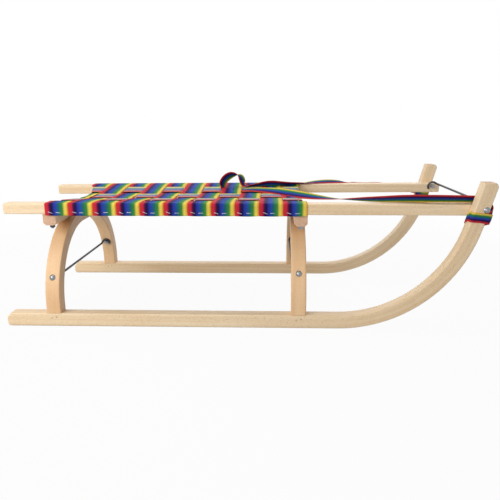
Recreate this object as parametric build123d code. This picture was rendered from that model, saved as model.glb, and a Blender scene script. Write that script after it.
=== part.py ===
from build123d import *
import math
import os

# Wooden horn sled with a woven webbing seat. Millimetres.
# X runs forward to the horns, Y to the sled's left, Z up from the ground.
# The origin is on the ground under the middle of the sled.

# Driving sizes of the whole sled
overall_length = 1000.0
overall_width = 411.0
fit_gap = 0.3

# Runners: one bent bar each, flat on the ground, then an arc up into a straight horn
runner_width = 26.0
runner_height = 29.0
runner_rear_setback = 4.0
bend_radius = 284.0
bend_angle = 75.0
horn_top = 302.0
horn_tip_setback = 0.5
horn_front_round = 9.0
horn_rear_round = 7.0
runner_edge_round = 3.0
runner_rear_chamfer = 9.0

# Seat rails: straight bars, a little wider apart at the horns
rail_width = 30.0
rail_height = 22.5
rail_bottom = 233.3
rail_rear_spread = 321.0
rail_edge_round = 3.0
rail_end_round = 4.0

# Arches: bent bars whose feet stand on the runners
arch_width = 31.0
arch_thickness = 27.0
arch_crown = 221.0
arch_crown_straight = 51.0
arch_edge_round = 2.5
arch_rear_setback = 106.5
arch_front_setback = 378.2
tenon_length = 16.0
tenon_width = 18.0
tenon_thickness = 12.0
tenon_root = 1.0

# Crossbars: lie on the arches under the rails, hollowed where they meet the arch
crossbar_width = 27.0
crossbar_height = 24.0
crossbar_end_inset = 2.0
crossbar_chamfer = 5.0
crossbar_rear_shift = -8.5
crossbar_front_shift = 3.7

# Fasteners and rods
arch_bolt_rear_height = 100.0
arch_bolt_front_height = 109.0
bolt_diameter = 6.0
bolt_head_diameter = 13.0
bolt_head_height = 3.6
nut_across = 10.0
nut_height = 6.0
nut_corner_trim_share = 0.56
bolt_overhang = 2.5
rod_diameter = 5.0
rod_bend_radius = 5.0
rod_sweep_radius = 18.0
brace_hook_entry_angle = 135.0
brace_hook_end_angle = -35.0
horn_hook_entry_angle = 60.0
horn_hook_end_angle = 215.0
straight_angle = 179.9
seat_gap = 0.2
horn_eye_radius = 11.0
horn_bolt_height = 249.0
horn_bolt_forward = 8.0
rail_bolt_head_diameter = 12.0
rail_bolt_head_depth = 3.0

# Webbing seat
webbing_width = 47.7
webbing_gap = 2.0
webbing_thickness = 1.7
seat_rear_reach = 5.5
seat_front_reach = 11.7
seat_sag = 11.0
end_strap_bow = 23.0
strap_flap_overhang = 2.0
strap_ramp_share = 0.36
strap_corner_share = 0.8
long_strap_width = 50.0
long_strap_pitch = 79.0
long_strap_tail = 20.0

# Pull strap
pull_strap_tube = 7.0
pull_strap_width = 24.0
horn_loop_height = 224.2
horn_loop_tilt = 29.0

# Places that follow from the sizes
half_length = overall_length / 2
half_width = overall_width / 2
rail_top = rail_bottom + rail_height
bend = math.radians(bend_angle)
bend_end_z = bend_radius * (1 - math.cos(bend))
tip_reach = (horn_top - horn_front_round - bend_end_z) / math.tan(bend)
tip_overrun = horn_front_round * (1 / math.sin(bend) - 1)
bend_end_x = half_length - horn_tip_setback - tip_reach + tip_overrun
bend_start_x = bend_end_x - bend_radius * math.sin(bend)
runner_rear_x = runner_rear_setback - half_length
horn_inner_y = half_width - runner_width
horn_foot_x = bend_end_x - runner_height / 2 / math.sin(bend)
horn_bolt_x = horn_foot_x + (horn_bolt_height - bend_end_z) / math.tan(bend) + horn_bolt_forward
rail_toe_out = math.atan2(horn_inner_y - fit_gap - rail_rear_spread / 2, horn_bolt_x + half_length)
arch_rear_x = arch_rear_setback - half_length
arch_front_x = half_length - arch_front_setback
crossbar_rear_x = arch_rear_x + crossbar_rear_shift
crossbar_front_x = arch_front_x + crossbar_front_shift
arch_corner_radius = half_width - arch_crown_straight / 2
corner_y = half_width - arch_corner_radius
corner_z = arch_crown - arch_corner_radius
arch_middle_radius = arch_corner_radius - arch_thickness / 2
seat_rear_x = crossbar_rear_x - seat_rear_reach
seat_front_x = crossbar_front_x + seat_front_reach
seat_room = seat_front_x - seat_rear_x + webbing_gap
cross_strap_count = int(seat_room / (webbing_width + webbing_gap) + 0.01)
webbing_pitch = seat_room / cross_strap_count
nut_corner = nut_across / math.sqrt(3)
brace_eye_radius = nut_corner + fit_gap + rod_diameter / 2
SIDES = (("left", 1), ("right", -1))


def rail_outer_y(x):
    """Distance of the rail's outer face from the middle at a place along the sled."""
    return rail_rear_spread / 2 + (x + half_length) * math.tan(rail_toe_out)


def rail_inner_y(x):
    return rail_outer_y(x) - rail_width / math.cos(rail_toe_out)


def rail_middle_y(x):
    return (rail_outer_y(x) + rail_inner_y(x)) / 2


def ribbon(points, thickness):
    """Closed outline of a thin band that follows a polyline in its own plane."""
    upper = []
    lower = []
    for i, point in enumerate(points):
        before = points[max(i - 1, 0)]
        after = points[min(i + 1, len(points) - 1)]
        first = Vector(point[0] - before[0], point[1] - before[1], 0)
        second = Vector(after[0] - point[0], after[1] - point[1], 0)
        if i == 0:
            first = second
        if i == len(points) - 1:
            second = first
        direction = (first.normalized() + second.normalized()).normalized()
        stretch = 1 / max(direction.dot(first.normalized()), 0.5)
        normal = Vector(-direction.Y, direction.X, 0) * (thickness / 2 * stretch)
        upper.append((point[0] + normal.X, point[1] + normal.Y))
        lower.append((point[0] - normal.X, point[1] - normal.Y))
    return upper + lower[::-1]


def bar_outline():
    """Side view of a runner, flat part, bend and horn, in X and Z."""
    inner_radius = bend_radius - runner_height
    horn_rise = (horn_top - bend_end_z) / math.tan(bend)
    inner_end_x = bend_start_x + inner_radius * math.sin(bend)
    inner_end_z = bend_radius - inner_radius * math.cos(bend)
    inner_top_x = inner_end_x + (horn_top - inner_end_z) / math.tan(bend)
    half = bend / 2
    with BuildSketch(Plane.XZ) as side:
        with BuildLine():
            Line((runner_rear_x, 0), (bend_start_x, 0))
            ThreePointArc(
                (bend_start_x, 0),
                (bend_start_x + bend_radius * math.sin(half), bend_radius * (1 - math.cos(half))),
                (bend_end_x, bend_end_z),
            )
            Line((bend_end_x, bend_end_z), (bend_end_x + horn_rise, horn_top))
            Line((bend_end_x + horn_rise, horn_top), (inner_top_x, horn_top))
            Line((inner_top_x, horn_top), (inner_end_x, inner_end_z))
            ThreePointArc(
                (inner_end_x, inner_end_z),
                (bend_start_x + inner_radius * math.sin(half), bend_radius - inner_radius * math.cos(half)),
                (bend_start_x, runner_height),
            )
            Line((bend_start_x, runner_height), (runner_rear_x + runner_rear_chamfer, runner_height))
            Line((runner_rear_x + runner_rear_chamfer, runner_height), (runner_rear_x, runner_height - runner_rear_chamfer))
            Line((runner_rear_x, runner_height - runner_rear_chamfer), (runner_rear_x, 0))
        make_face()
        top = side.vertices().group_by(Axis.Z)[-1].sort_by(Axis.X)
        fillet(top[-1], horn_front_round)
        top = side.vertices().group_by(Axis.Z)[-1].sort_by(Axis.X)
        fillet(top[0], horn_rear_round)
    return side.sketch


def make_runner(side):
    face = bar_outline()
    bar = extrude(face, runner_width / 2, both=True)
    edges = bar.edges().filter_by(lambda e: abs(e.center().Y) > runner_width / 2 - 0.01)
    bar = fillet(edges, runner_edge_round)
    bar = Pos(0, side * (half_width - runner_width / 2), 0) * bar
    foot_y = side * (half_width - arch_thickness / 2)
    for x in (arch_rear_x, arch_front_x):
        mortise = Box(tenon_width + 2 * fit_gap, tenon_thickness + 2 * fit_gap, tenon_length + fit_gap)
        bar -= Pos(x, foot_y, runner_height - (tenon_length + fit_gap) / 2) * mortise
    bolt_hole = Cylinder((bolt_diameter + fit_gap) / 2, 2 * runner_width, rotation=(90, 0, 0))
    bar -= Pos(horn_bolt_x, side * (half_width - runner_width / 2), horn_bolt_height) * bolt_hole
    return bar


def make_rail(side):
    length = overall_length / math.cos(rail_toe_out)
    bar = Box(length, rail_width, rail_height)
    ends = bar.edges().filter_by(Axis.Z)
    bar = fillet(ends, rail_end_round)
    rims = bar.faces().sort_by(Axis.Z)
    bar = fillet(rims[0].edges() + rims[-1].edges(), rail_edge_round)
    bar = Rot(0, 0, side * math.degrees(rail_toe_out)) * bar
    bar = Pos(0, side * rail_middle_y(0), rail_bottom + rail_height / 2) * bar
    for x in (crossbar_rear_x, crossbar_front_x):
        hole = Cylinder((bolt_diameter + fit_gap) / 2, 2 * rail_height)
        bar -= Pos(x, side * rail_middle_y(x), rail_bottom + rail_height / 2) * hole
        bar -= Pos(x, side * rail_middle_y(x), rail_top) * countersink(fit_gap / 2)
    hole = Cylinder((bolt_diameter + fit_gap) / 2, 2 * rail_width, rotation=(90, 0, 0))
    bar -= Pos(horn_bolt_x, side * rail_middle_y(horn_bolt_x), horn_bolt_height) * hole
    return bar


def arch_outline(outer_radius, crown, foot):
    """Front view of an arch's outer or inner line as a closed shape above its feet."""
    reach = corner_y + outer_radius
    slant = math.sqrt(0.5)
    low = min(foot, corner_z) - 1
    with BuildSketch(Plane.YZ) as front:
        with BuildLine():
            Line((-reach, low), (-reach, corner_z))
            ThreePointArc(
                (-reach, corner_z),
                (-corner_y - outer_radius * slant, corner_z + outer_radius * slant),
                (-corner_y, crown),
            )
            Line((-corner_y, crown), (corner_y, crown))
            ThreePointArc(
                (corner_y, crown),
                (corner_y + outer_radius * slant, corner_z + outer_radius * slant),
                (reach, corner_z),
            )
            Line((reach, corner_z), (reach, low))
            Line((reach, low), (-reach, low))
        make_face()
        with Locations((0, foot - overall_width / 2)):
            Rectangle(2 * overall_width, overall_width, mode=Mode.SUBTRACT)
    return front.sketch


def make_arch(x, bolt_height):
    foot = runner_height
    outer = arch_outline(arch_corner_radius, arch_crown, foot)
    inner = arch_outline(arch_corner_radius - arch_thickness, arch_crown - arch_thickness, foot)
    arch = extrude(outer - inner, arch_width / 2, both=True)
    edges = arch.edges().filter_by(lambda e: abs(e.center().X) > arch_width / 2 - 0.01 and e.center().Z > foot + 0.5)
    arch = fillet(edges, arch_edge_round)
    for _, side in SIDES:
        tenon = Box(tenon_width, tenon_thickness, tenon_length + tenon_root)
        tenon_z = foot - (tenon_length - tenon_root) / 2
        arch += Pos(0, side * (half_width - arch_thickness / 2), tenon_z) * tenon
        hole = Cylinder((bolt_diameter + fit_gap) / 2, 3 * arch_thickness, rotation=(90 + side * bolt_tilt(bolt_height), 0, 0))
        arch -= Pos(0, side * arch_bolt_y(bolt_height), bolt_height) * hole
    return Pos(x, 0, 0) * arch


def bolt_tilt(height):
    """Angle away from level of a bolt square to the leg, at its height in mid thickness."""
    return math.degrees(math.asin((height - corner_z) / arch_middle_radius))


def arch_bolt_y(height):
    """Middle of the leg's thickness along the bolt."""
    return corner_y + math.sqrt(arch_middle_radius ** 2 - (height - corner_z) ** 2)


def inner_face_rise(reach):
    """How far the hollow inner face of a leg stands up at a distance from the bolt."""
    return reach ** 2 / (2 * (arch_corner_radius - arch_thickness))


def make_crossbar(x):
    half = rail_outer_y(x) - crossbar_end_inset
    bar = Box(crossbar_width, 2 * half, crossbar_height)
    edges = bar.edges().filter_by(Axis.Y)
    low = edges.sort_by(Axis.Z)[:2]
    bar = chamfer(low, crossbar_chamfer)
    bar = Pos(x, 0, rail_bottom - crossbar_height / 2) * bar
    arch_body = extrude(arch_outline(arch_corner_radius, arch_crown, 0), crossbar_width, both=True)
    bar -= Pos(x, 0, 0) * arch_body
    for _, side in SIDES:
        hole = Cylinder((bolt_diameter + fit_gap) / 2, 3 * crossbar_height)
        bar -= Pos(x, side * rail_middle_y(x), rail_bottom) * hole
    return bar


def dome_bolt(head_diameter, grip, extra):
    """Carriage bolt along +Z: dome head below Z=0, shank through the grip."""
    radius = head_diameter / 2
    ball = (radius ** 2 + bolt_head_height ** 2) / (2 * bolt_head_height)
    head = Pos(0, 0, ball - bolt_head_height) * Sphere(ball)
    head &= Pos(0, 0, -bolt_head_height / 2) * Cylinder(head_diameter, bolt_head_height)
    shank = Pos(0, 0, (grip + extra) / 2) * Cylinder(bolt_diameter / 2, grip + extra)
    return head + shank


def hex_nut():
    """Nut standing on Z=0 with the bolt's bore."""
    with BuildSketch() as plan:
        RegularPolygon(nut_across / 2, 6, major_radius=False)
        Circle(bolt_diameter / 2, mode=Mode.SUBTRACT)
    nut = extrude(plan.sketch, nut_height)
    cap = Pos(0, 0, nut_height / 2) * Cylinder(nut_across * nut_corner_trim_share, nut_height)
    return nut & cap


def place(part, point, direction):
    """Turn a part's own Z to a direction and move it to a point."""
    return Plane(origin=point, z_dir=direction).location * part


def arch_fasteners(x, height):
    """Carriage bolts and nuts through both legs of an arch."""
    tilt = math.radians(bolt_tilt(height))
    bolts = []
    nuts = []
    for _, side in SIDES:
        outward = Vector(0, side * math.cos(tilt), math.sin(tilt))
        middle = Vector(x, side * arch_bolt_y(height), height)
        outer = middle + outward * (arch_thickness / 2)
        inner = middle - outward * (arch_thickness / 2 + seat_gap + inner_face_rise(nut_corner))
        grip = arch_thickness + nut_height
        bolts.append(place(dome_bolt(bolt_head_diameter, grip, bolt_overhang), outer, -outward))
        nuts.append(place(hex_nut(), inner, -outward))
    return bolts, nuts


def horn_fasteners():
    bolts = []
    nuts = []
    for _, side in SIDES:
        inner_face = rail_inner_y(horn_bolt_x - nut_corner) - seat_gap
        grip = half_width - inner_face + nut_height
        outer = Vector(horn_bolt_x, side * half_width, horn_bolt_height)
        inner = Vector(horn_bolt_x, side * inner_face, horn_bolt_height)
        bolts.append(place(dome_bolt(bolt_head_diameter, grip, bolt_overhang), outer, (0, -side, 0)))
        nuts.append(place(hex_nut(), inner, (0, -side, 0)))
    return bolts, nuts


def rail_fasteners(x):
    """Vertical bolts down through rail and crossbar, with their nuts."""
    bolts = []
    nuts = []
    for _, side in SIDES:
        y = side * rail_middle_y(x)
        grip = rail_height + crossbar_height + nut_height
        bolts.append(Pos(x, y, rail_top) * countersunk_bolt(grip))
        nuts.append(place(hex_nut(), (x, y, rail_bottom - crossbar_height), (0, 0, -1)))
    return bolts, nuts


def countersink(clearance):
    """Cone of a flush bolt head under Z=0, or of its seat."""
    head = rail_bolt_head_diameter / 2 + clearance
    neck = bolt_diameter / 2 + clearance
    return Pos(0, 0, -rail_bolt_head_depth / 2) * Cone(neck, head, rail_bolt_head_depth)


def countersunk_bolt(grip):
    """Bolt whose flat head lies in the rail's top, pointing down."""
    shank = Pos(0, 0, -(grip + bolt_overhang) / 2) * Cylinder(bolt_diameter / 2, grip + bolt_overhang)
    return shank + countersink(0)


def hook_path(point, inward, eye_radius, entry_angle, end_angle):
    """Middle line of one rod end: an open eye round the bolt, then a bend away from the face.

    Angles are taken round the bolt from the sled's forward direction, upward positive.
    Returns the edges from the tip to the rod, and the point and direction where the rod leaves.
    """
    frame = Plane(origin=point, x_dir=(1, 0, 0), z_dir=inward)
    up = 1 if frame.y_dir.Z > 0 else -1
    level = rod_diameter / 2
    turn = 1 if end_angle < entry_angle else -1
    entry = math.radians(entry_angle)
    slant = math.sqrt(0.5)

    def eye_point(angle):
        turned = math.radians(angle)
        return frame.from_local_coords(
            Vector(eye_radius * math.cos(turned), up * eye_radius * math.sin(turned), level)
        )

    tangent = Vector(turn * math.sin(entry), -turn * up * math.cos(entry), 0)
    corner = Vector(eye_radius * math.cos(entry), up * eye_radius * math.sin(entry), level)
    rise = Vector(0, 0, rod_bend_radius)
    leave = corner - tangent * rod_bend_radius + rise
    middle = corner - tangent * (rod_bend_radius * slant) + rise * (1 - slant)
    eye = ThreePointArc(eye_point(end_angle), eye_point((end_angle + entry_angle) / 2), eye_point(entry_angle))
    quarter = ThreePointArc(
        frame.from_local_coords(corner),
        frame.from_local_coords(middle),
        frame.from_local_coords(leave),
    )
    exit_point = frame.from_local_coords(leave)
    return list(eye.edges()) + list(quarter.edges()), exit_point, Vector(inward)


def hooked_rod(seats, eye_radius, entry_angle, end_angle):
    """Wire across the sled with an open eye at each end."""
    near_edges, near_exit, near_way = hook_path(*seats[0], eye_radius, entry_angle, end_angle)
    far_edges, far_exit, far_way = hook_path(*seats[1], eye_radius, entry_angle, end_angle)
    facing = near_way.get_angle(far_way)
    if facing > straight_angle:
        run = Line(near_exit, far_exit)
    else:
        turn = math.radians(180 - facing) / 2
        room = rod_bend_radius / math.tan(turn / 2)
        sweep_radius = min(rod_sweep_radius, 0.9 * room)
        near_turn = near_exit + near_way * rod_bend_radius
        far_turn = far_exit + far_way * rod_bend_radius
        run = FilletPolyline(near_exit, near_turn, far_turn, far_exit, radius=sweep_radius)
    path = Wire(near_edges + list(run.edges()) + far_edges[::-1])
    section = Plane(origin=path @ 0, z_dir=path % 0) * Circle(rod_diameter / 2)
    return sweep(section, path=path)


def brace_rod(x, height):
    tilt = math.radians(bolt_tilt(height))
    seats = []
    for _, side in SIDES:
        outward = Vector(0, side * math.cos(tilt), math.sin(tilt))
        middle = Vector(x, side * arch_bolt_y(height), height)
        depth = arch_thickness / 2 + seat_gap + inner_face_rise(brace_eye_radius + rod_diameter / 2)
        seats.append((middle - outward * depth, -outward))
    return hooked_rod(seats, brace_eye_radius, brace_hook_entry_angle, brace_hook_end_angle)


def horn_rod():
    seats = []
    for _, side in SIDES:
        y = rail_inner_y(horn_bolt_x - horn_eye_radius) - seat_gap
        seats.append((Vector(horn_bolt_x, side * y, horn_bolt_height), Vector(0, -side, 0)))
    return hooked_rod(seats, horn_eye_radius, horn_hook_entry_angle, horn_hook_end_angle)


def row_height(row):
    """Height of the weave's middle surface at one lengthwise strap, lower where the seat sags."""
    share = abs(2 - row) * long_strap_pitch / rail_inner_y(0)
    return rail_top + fit_gap + webbing_thickness / 2 - seat_sag * (1 - share ** 2)


def crosses_over(strap_number, row):
    """Plain weave: whether this cross strap lies on top of the lengthwise strap."""
    return (strap_number + row) % 2 == 1


def cross_strap_points(number, x):
    """Front view of a cross strap's middle line: flap, rail, weave, rail, flap."""
    lift = (webbing_thickness + fit_gap) / 2
    outer = rail_outer_y(x + webbing_width / 2) + fit_gap + webbing_thickness / 2
    inner = rail_inner_y(x - webbing_width / 2)
    top = rail_top + fit_gap + webbing_thickness / 2
    corner = strap_corner_share * rail_edge_round
    flat = long_strap_width / 2 + fit_gap
    points = [(-outer, rail_bottom - strap_flap_overhang), (-outer, top - corner), (-outer + corner, top), (-inner, top)]
    for row in (3, 2, 1):
        y = (2 - row) * long_strap_pitch
        z = row_height(row) + (lift if crosses_over(number, row) else -lift)
        points += [(y - flat, z), (y + flat, z)]
    points += [(inner, top), (outer - corner, top), (outer, top - corner), (outer, rail_bottom - strap_flap_overhang)]
    return points


def make_cross_strap(number):
    x = seat_rear_x + webbing_pitch * (number - 1) + webbing_width / 2
    outline = ribbon(cross_strap_points(number, x), webbing_thickness)
    with BuildSketch(Plane.YZ.offset(x - webbing_width / 2)) as front:
        with BuildLine():
            Polyline(*outline, close=True)
        make_face()
    strap = extrude(front.sketch, webbing_width)
    if number == 1 or number == cross_strap_count:
        inward = 1 if number == 1 else -1
        edge_x = x - inward * webbing_width / 2
        outside_x = edge_x - inward * end_strap_bow
        inner = rail_inner_y(x)
        with BuildSketch(Plane.XY.offset(rail_bottom - rail_height)) as hollow:
            with BuildLine():
                ThreePointArc((edge_x, -inner), (edge_x + inward * end_strap_bow, 0), (edge_x, inner))
                Line((edge_x, inner), (outside_x, inner))
                Line((outside_x, inner), (outside_x, -inner))
                Line((outside_x, -inner), (edge_x, -inner))
            make_face()
        strap -= extrude(hollow.sketch, 3 * rail_height)
    return strap


def make_long_strap(row):
    """Strap along the sled, woven through the cross straps, its ends folded round the end straps."""
    y = (2 - row) * long_strap_pitch
    lift = (webbing_thickness + fit_gap) / 2
    middle = row_height(row)
    reach = (abs(y) + long_strap_width / 2) / rail_inner_y(seat_rear_x)
    bow = end_strap_bow * (1 - reach ** 2)
    clear = fit_gap + webbing_thickness / 2
    strap_gap = webbing_pitch - webbing_width
    ramp = strap_gap * strap_ramp_share
    points = []
    for number in range(1, cross_strap_count + 1):
        left = seat_rear_x + webbing_pitch * (number - 1)
        right = left + webbing_width
        z = middle + (-lift if crosses_over(number, row) else lift)
        left -= strap_gap / 2 - ramp
        right += strap_gap / 2 - ramp
        if number == 1:
            left = seat_rear_x + bow - clear
        if number == cross_strap_count:
            right = seat_front_x - bow + clear
        points += [(left, z), (right, z)]
    rear_x, rear_z = points[0]
    front_x, front_z = points[-1]
    rear_tail_z = middle - 3 * (rear_z - middle)
    front_tail_z = middle - 3 * (front_z - middle)
    points = [(rear_x + long_strap_tail, rear_tail_z), (rear_x, rear_tail_z)] + points
    points += [(front_x, front_tail_z), (front_x - long_strap_tail, front_tail_z)]
    with BuildSketch(Plane.XZ) as side:
        with BuildLine():
            Polyline(*ribbon(points, webbing_thickness), close=True)
        make_face()
    return Pos(0, y, 0) * extrude(side.sketch, long_strap_width / 2, both=True)


def cord_tube(points, diameter):
    """Plain round tube along straight runs joined by tangent arcs."""
    corners = [Vector(*point) for point in points]
    radii = []
    for i in range(1, len(corners) - 1):
        before = corners[i] - corners[i - 1]
        after = corners[i + 1] - corners[i]
        turn = math.radians(before.get_angle(after))
        shorter = min(before.length, after.length)
        radii.append(0.45 * shorter / math.tan(turn / 2))
    print("tube radii", [round(radius) for radius in radii])
    with BuildLine() as route:
        FilletPolyline(*corners, radius=radii)
    path = route.wires()[0]
    section = Plane(origin=path @ 0, z_dir=path % 0) * Circle(diameter / 2)
    tube = sweep(section, path=path)
    print("tube length", round(path.length, 1), "volume share", tube.volume / (path.length * section.area))
    return tube


def make_horn_loop(side):
    """Flat band of the pull strap round a horn, under the rail on the inside and higher outside."""
    clear = fit_gap + webbing_thickness
    horn_axis = Vector(math.cos(bend), 0, math.sin(bend))
    axis_x = horn_foot_x + (horn_loop_height - bend_end_z) / math.tan(bend)
    centre = Vector(axis_x, side * (half_width - runner_width / 2), horn_loop_height)
    plan = Plane(origin=centre - horn_axis * (2 * pull_strap_width), x_dir=(0, 1, 0), z_dir=horn_axis)
    with BuildSketch(plan) as ring:
        RectangleRounded(runner_width + 2 * clear, runner_height + 2 * clear, runner_edge_round + clear)
        RectangleRounded(
            runner_width + 2 * fit_gap,
            runner_height + 2 * fit_gap,
            runner_edge_round + fit_gap,
            mode=Mode.SUBTRACT,
        )
    sleeve = extrude(ring.sketch, 4 * pull_strap_width)
    slab_height = pull_strap_width * math.cos(math.radians(horn_loop_tilt))
    slab = Box(4 * runner_height, 4 * runner_width, slab_height)
    lean = math.degrees(math.pi / 2 - bend)
    slab = Pos(*centre) * Rot(0, lean, 0) * Rot(side * horn_loop_tilt, 0, 0) * slab
    return sleeve & slab


# Pull strap: chosen routes of its three free stretches, and the cross strap that it is tucked
# under lies between them
pull_near_route = [
    (478, -160, 266.5),
    (440, -146, 265),
    (392, -126, 262),
    (335, -102, 259),
    (275, -76, 256),
    (215, -52, 254),
    (160, -28, 253.5),
    (110, -2, 254.1),
    (60, 22, 252.7),
    (12, 44, 252.6),
]
pull_loop_route = [
    (-63.5, 47, 251.2),
    (-58, 47.5, 262),
    (-53.5, 48.5, 274),
    (-46, 50, 285.5),
    (-35, 51.5, 293.5),
    (-22, 52, 296),
    (-10.5, 51.5, 290),
    (-3.5, 50.5, 279),
    (-1.5, 49.5, 266.5),
    (-5.5, 48.5, 250.5),
]
pull_far_route = [
    (4, 61, 255.1),
    (34, 80, 259),
    (68, 95, 262),
    (106, 116, 261),
    (146, 145, 261.5),
    (195, 160, 262),
    (245, 173, 261.5),
    (288, 183.5, 257.5),
    (328, 185, 250),
    (370, 187.5, 243),
    (410, 192.5, 238),
    (445, 199, 235),
]


def build_all():
    parts = {}
    for name, side in SIDES:
        parts["runner_" + name] = make_runner(side)
        parts["rail_" + name] = make_rail(side)
    places = (
        ("rear", arch_rear_x, arch_bolt_rear_height, crossbar_rear_x),
        ("front", arch_front_x, arch_bolt_front_height, crossbar_front_x),
    )
    for name, arch_x, bolt_height, crossbar_x in places:
        parts["arch_" + name] = make_arch(arch_x, bolt_height)
        parts["crossbar_" + name] = make_crossbar(crossbar_x)
        bolts, nuts = arch_fasteners(arch_x, bolt_height)
        parts["arch_bolts_" + name] = Compound(children=bolts)
        parts["arch_nuts_" + name] = Compound(children=nuts)
        parts["brace_rod_" + name] = brace_rod(arch_x, bolt_height)
        bolts, nuts = rail_fasteners(crossbar_x)
        parts["rail_bolts_" + name] = Compound(children=bolts)
        parts["rail_nuts_" + name] = Compound(children=nuts)
    bolts, nuts = horn_fasteners()
    parts["horn_bolts"] = Compound(children=bolts)
    parts["horn_nuts"] = Compound(children=nuts)
    parts["horn_rod"] = horn_rod()
    for number in range(1, cross_strap_count + 1):
        parts["cross_strap_%02d" % number] = make_cross_strap(number)
    for row, name in ((1, "left"), (2, "middle"), (3, "right")):
        parts["long_strap_" + name] = make_long_strap(row)
    parts["pull_strap_near_run"] = cord_tube(pull_near_route, pull_strap_tube)
    parts["pull_strap_hand_loop"] = cord_tube(pull_loop_route, pull_strap_tube)
    parts["pull_strap_far_run"] = cord_tube(pull_far_route, pull_strap_tube)
    for name, side in SIDES:
        parts["pull_strap_loop_" + name] = make_horn_loop(side)
    return parts


os.makedirs("parts", exist_ok=True)
for node, shape in build_all().items():
    export_step(shape, "parts/" + node + ".step")
    box = shape.bounding_box()
    print(node, [round(v, 1) for v in (*box.min, *box.max)])
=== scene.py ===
"""Looks of a wooden horn sled: oiled beech, a woven rainbow webbing seat and a flat pull strap.

Metres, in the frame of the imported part: X forward to the horns, Y to the sled's left, Z up.
"""

import logging
import math
import random
from dataclasses import dataclass, field
from enum import Enum

import bpy
import numpy as np
from mathutils import Matrix, Vector


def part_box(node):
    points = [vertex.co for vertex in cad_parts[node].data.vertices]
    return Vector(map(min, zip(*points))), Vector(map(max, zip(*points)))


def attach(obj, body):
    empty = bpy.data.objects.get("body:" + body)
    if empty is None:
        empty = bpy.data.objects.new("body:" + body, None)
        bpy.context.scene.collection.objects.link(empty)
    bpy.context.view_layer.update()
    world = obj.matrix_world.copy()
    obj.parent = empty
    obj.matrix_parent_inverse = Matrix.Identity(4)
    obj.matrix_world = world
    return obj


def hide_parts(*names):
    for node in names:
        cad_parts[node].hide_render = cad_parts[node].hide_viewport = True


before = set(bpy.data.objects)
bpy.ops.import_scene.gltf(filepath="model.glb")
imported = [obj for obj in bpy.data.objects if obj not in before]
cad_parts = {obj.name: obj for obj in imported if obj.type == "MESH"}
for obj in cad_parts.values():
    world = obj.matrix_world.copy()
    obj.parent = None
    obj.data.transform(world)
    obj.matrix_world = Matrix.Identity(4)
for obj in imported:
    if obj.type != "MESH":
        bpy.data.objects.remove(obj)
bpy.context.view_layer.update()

REPORT = logging.getLogger("sled")
Colour = tuple[float, float, float]
Socket = bpy.types.NodeSocket


def srgb(red: float, green: float, blue: float) -> tuple[float, float, float, float]:
    """Turn a colour as it is mixed on paper, 0 to 255, into the shader's linear values.

    Args:
        red: red part, 0 to 255.
        green: green part, 0 to 255.
        blue: blue part, 0 to 255.

    Returns:
        Linear red, green, blue and an alpha of one.
    """
    linear = []
    for part in (red, green, blue):
        share = part / 255
        linear.append(share / 12.92 if share <= 0.04045 else ((share + 0.055) / 1.055) ** 2.4)
    return (linear[0], linear[1], linear[2], 1.0)


def smooth_steps(places: np.ndarray, knots: list[float], values: list[float]) -> np.ndarray:
    """Read a curve that eases from each knot's value to the next one's.

    Args:
        places: where the curve is read.
        knots: rising places at which the values hold.
        values: value at each knot.

    Returns:
        The eased value at each place.
    """
    knot_array = np.asarray(knots)
    value_array = np.asarray(values)
    index = np.clip(np.searchsorted(knot_array, places) - 1, 0, len(knots) - 2)
    start = knot_array[index]
    share = np.clip((places - start) / (knot_array[index + 1] - start), 0, 1)
    eased = share * share * (3 - 2 * share)
    return value_array[index] * (1 - eased) + value_array[index + 1] * eased


@dataclass(frozen=True)
class Noise:
    """Stretched noise: how often it repeats along each axis, and how fine its detail goes."""

    scale: tuple[float, float, float]
    detail: float


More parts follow.
